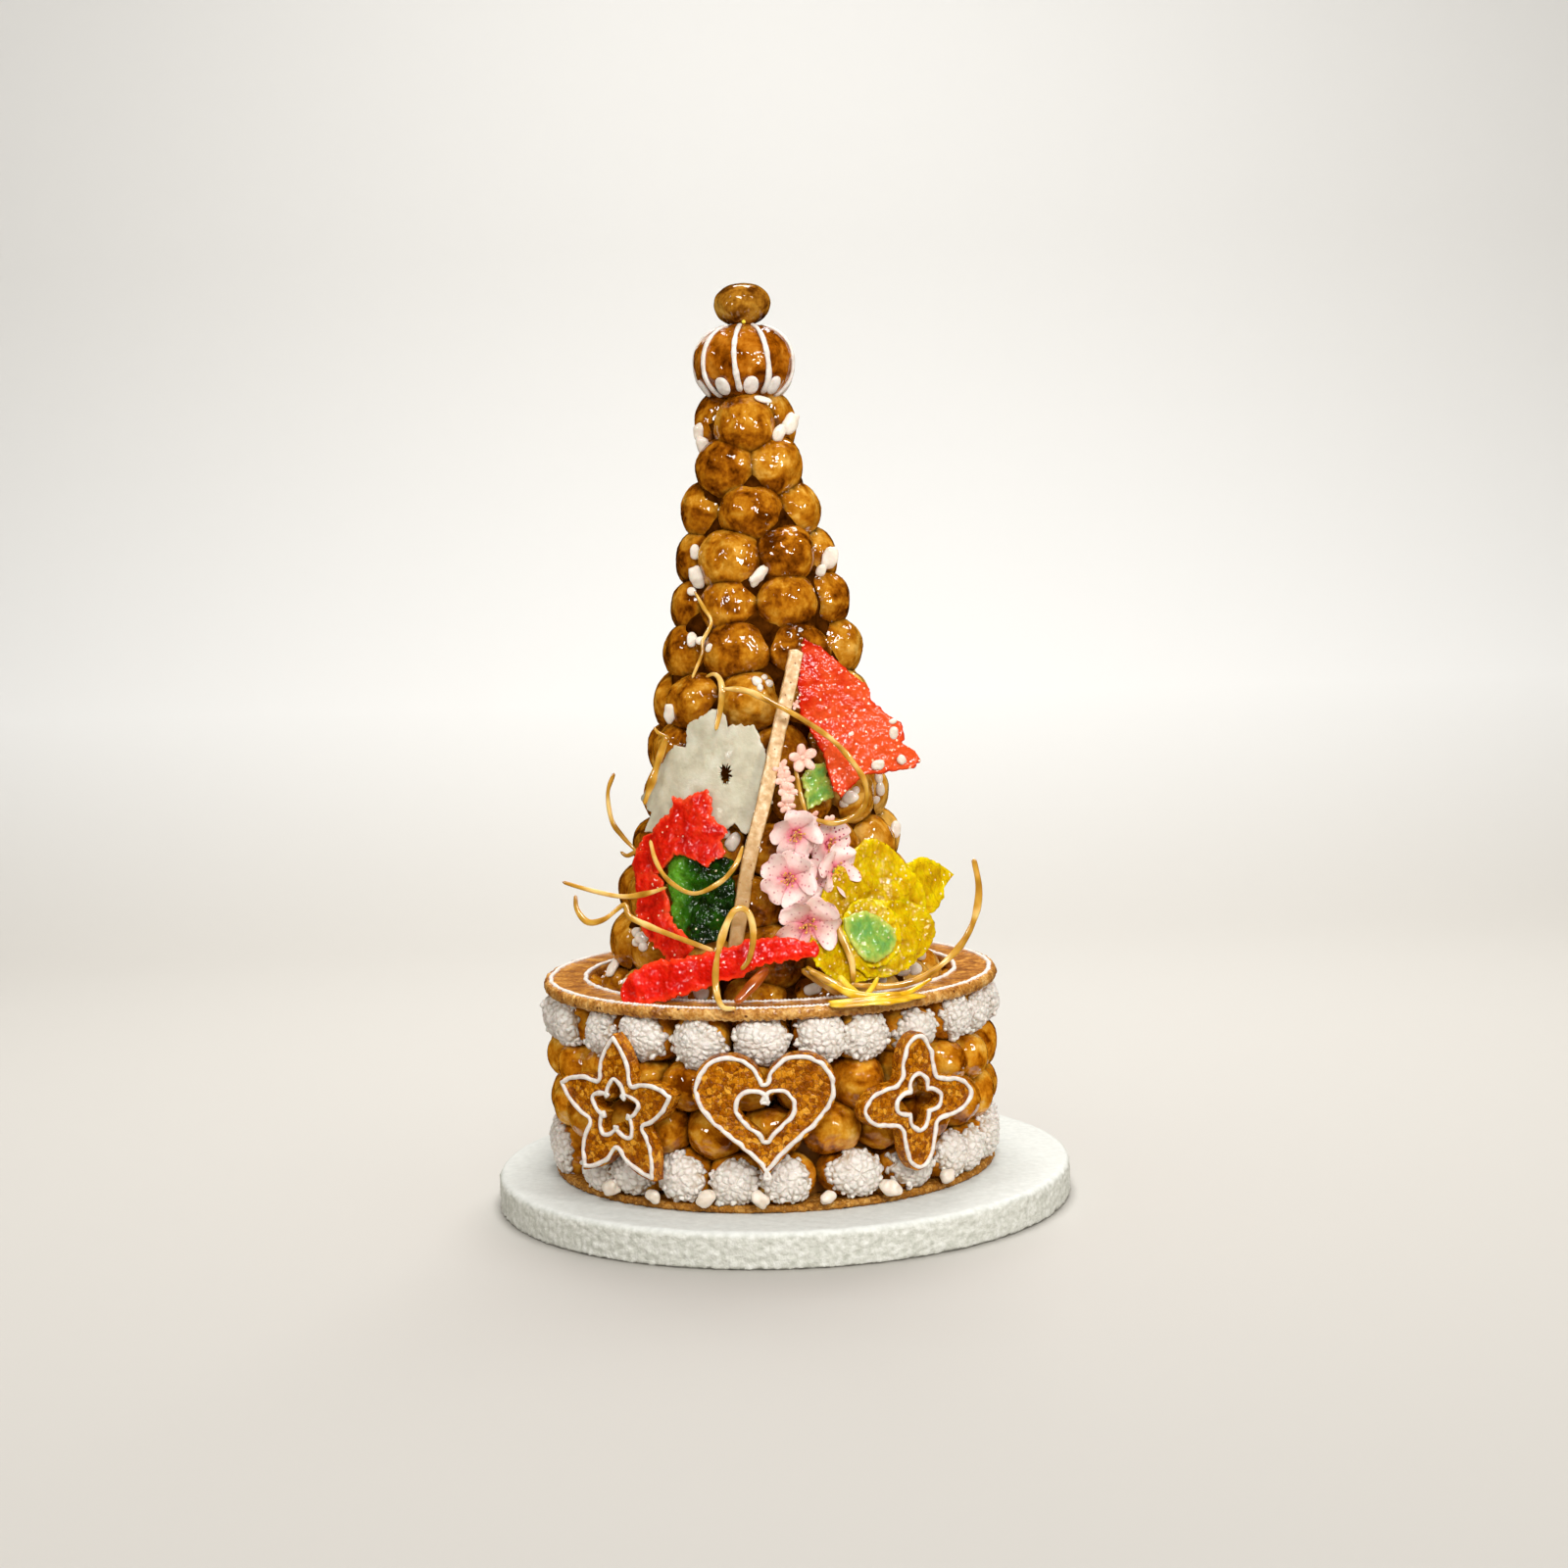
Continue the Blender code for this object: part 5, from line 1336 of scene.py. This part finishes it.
makeThreads(pulledSugar("goldSugar", ((0.3, "#A87212"), (0.5, "#D29C34"), (0.7, "#F4D080"))),
            pulledSugar("brownSugar", ((0.3, "#803004"), (0.55, "#B05410"), (0.8, "#D88840"))),
            pulledSugar("meltedSugar", ((0.3, "#CC9208"), (0.5, "#EAB814"), (0.7, "#F8DC50"))))
makeBlossoms(draw, petalPaste(), dullSugar("throatPaste", ((0.3, "#B84A5A"), (0.7, "#D9838C")), 0.002, 0.001),
             dullSugar("greenPaste", ((0.3, "#5E8A3C"), (0.7, "#A7C27A")), 0.002, 0.001),
             dullSugar("stamenPaste", ((0.3, "#B86A1C"), (0.7, "#EEC25A")), 0.002, 0.001))
makeSmallFlowers(draw, dullSugar("pinkPaste", ((0.3, "#E2A690"), (0.7, "#F6CCBA")), 0.004, 0.001))
bpy.context.view_layer.update()
makePebbles(white, coneChoux)


# floor, light and camera

print("stage")
studio = {"floor": "#D4D0C9", "wall": "#EFEEEB", "reach": 4.0, "bendAt": 1.1, "bend": 0.9, "sky": 0.47}
view = {"place": (tower[0], -1.74, boardTop + 0.422), "yaw": 0.45, "pitch": 5.2, "roll": -1.75, "lens": 57.7}
middle = (tower[0], 0, 0.3)
lamps = {   # place and target, size in metres, power in watts; whether it is mirrored, and lights the paper
    "key": ((0.45, -2.2, 1.75), middle, 0.70, 33, True, False),
    "right": ((1.5, -1.6, 1.2), middle, 0.40, 21, True, False),
    "left": ((-1.5, -1.5, 1.3), middle, 0.35, 10, True, False),
    "fill": ((-0.2, -2.2, 0.9), (tower[0], 0, 0.1), 0.8, 3, False, False),
    "back": ((0.15, 0.8, 2.2), (tower[0], -0.1, 0), 1.1, 40, True, True),
    "floor": ((0.0, -2.2, 2.0), (0, -1.4, 0), 1.8, 13, False, True),
    "wall": ((0.0, 0.3, 2.6), (0, 1.7, 0.2), 3.3, 14, False, True)}


def makePaper():
    # one sheet of pale paper: the floor, a wide bend and the wall behind
    arc = np.linspace(0, np.pi / 2, 24)
    reach, bend, start = studio["reach"], studio["bend"], studio["bendAt"]
    spots = [(-reach, 0.0)] + list(zip(start + bend * np.sin(arc), bend - bend * np.cos(arc)))
    spots = np.array(spots + [(start + bend, reach)])
    points = np.stack(np.broadcast_arrays((-reach, reach), spots[:, :1], spots[:, 1:]), -1).reshape(-1, 3)
    first = np.arange(len(spots) - 1) * 2
    faces = np.stack((first, first + 1, first + 3, first + 2), -1)
    mesh = bpy.data.meshes.new("paper")
    mesh.from_pydata(points.tolist(), [], faces.tolist())
    mesh.shade_smooth()
    add, place, end = startMaterial("paper")
    height = add("SeparateXYZ", (place,)).outputs["Z"]
    colour = add("ValToRGB", (height,), ((0.0, studio["floor"]), (0.25, studio["wall"])))
    mesh.materials.append(end({"Base Color": colour, "Roughness": 0.9, "Specular IOR Level": 0.1}))
    paper = bpy.data.objects.new("paper", mesh)
    bpy.context.scene.collection.objects.link(paper)
    paper.visible_glossy = False   # the choux mirror the dark of the room, not the paper
    paper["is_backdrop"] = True
    flagged.objects.link(paper)
    flagged.collection_objects[0].light_linking.link_state = "EXCLUDE"


def addLamp(name, place, target, size, power, mirrored, onPaper):
    # a square soft lamp; one that isn't mirrored only fills the shadows, one not on the paper is flagged off
    lamp = bpy.data.lights.new(name, "AREA")
    lamp.size, lamp.energy = size, power
    made = bpy.data.objects.new(name, lamp)
    made.location = place
    made.visible_glossy = mirrored
    made.rotation_euler = (Vector(target) - Vector(place)).to_track_quat("-Z", "Y").to_euler()
    bpy.context.scene.collection.objects.link(made)
    if not onPaper:
        made.light_linking.receiver_collection = flagged


def makeCamera():
    # a little above the middle of the cone, turned and rolled slightly as a hand holds it
    yaw, pitch, roll = (math.radians(view[angle]) for angle in ("yaw", "pitch", "roll"))
    forward = Vector((math.sin(yaw) * math.cos(pitch), math.cos(yaw) * math.cos(pitch), -math.sin(pitch)))
    right = Vector((math.cos(yaw), -math.sin(yaw), 0))
    up = right.cross(forward)
    across = right * math.cos(roll) + up * math.sin(roll)
    above = up * math.cos(roll) - right * math.sin(roll)
    made = bpy.data.cameras.new("camera")
    made.lens, made.sensor_width = view["lens"], 36
    camera = bpy.data.objects.new("camera", made)
    axes = Matrix((across, above, -forward)).transposed().to_4x4()
    camera.matrix_world = Matrix.Translation(view["place"]) @ axes
    bpy.context.scene.collection.objects.link(camera)
    bpy.context.scene.camera = camera


flagged = bpy.data.collections.new("flaggedOff")
makePaper()
makeCamera()
for name, facts in lamps.items():
    addLamp(name, *facts)
world = bpy.data.worlds.new("studio")
world.use_nodes = True
world.node_tree.nodes["Background"].inputs["Color"].default_value = linear("#F4F1EC")
world.node_tree.nodes["Background"].inputs["Strength"].default_value = studio["sky"]
world.cycles_visibility.glossy = False
bpy.context.scene.world = world
bpy.context.scene.view_settings.view_transform = "Standard"

sizes = {"cad": cadSize, "visual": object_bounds()}
{name: [[float(number) for number in corner] for corner in box] for name, box in sizes.items()}
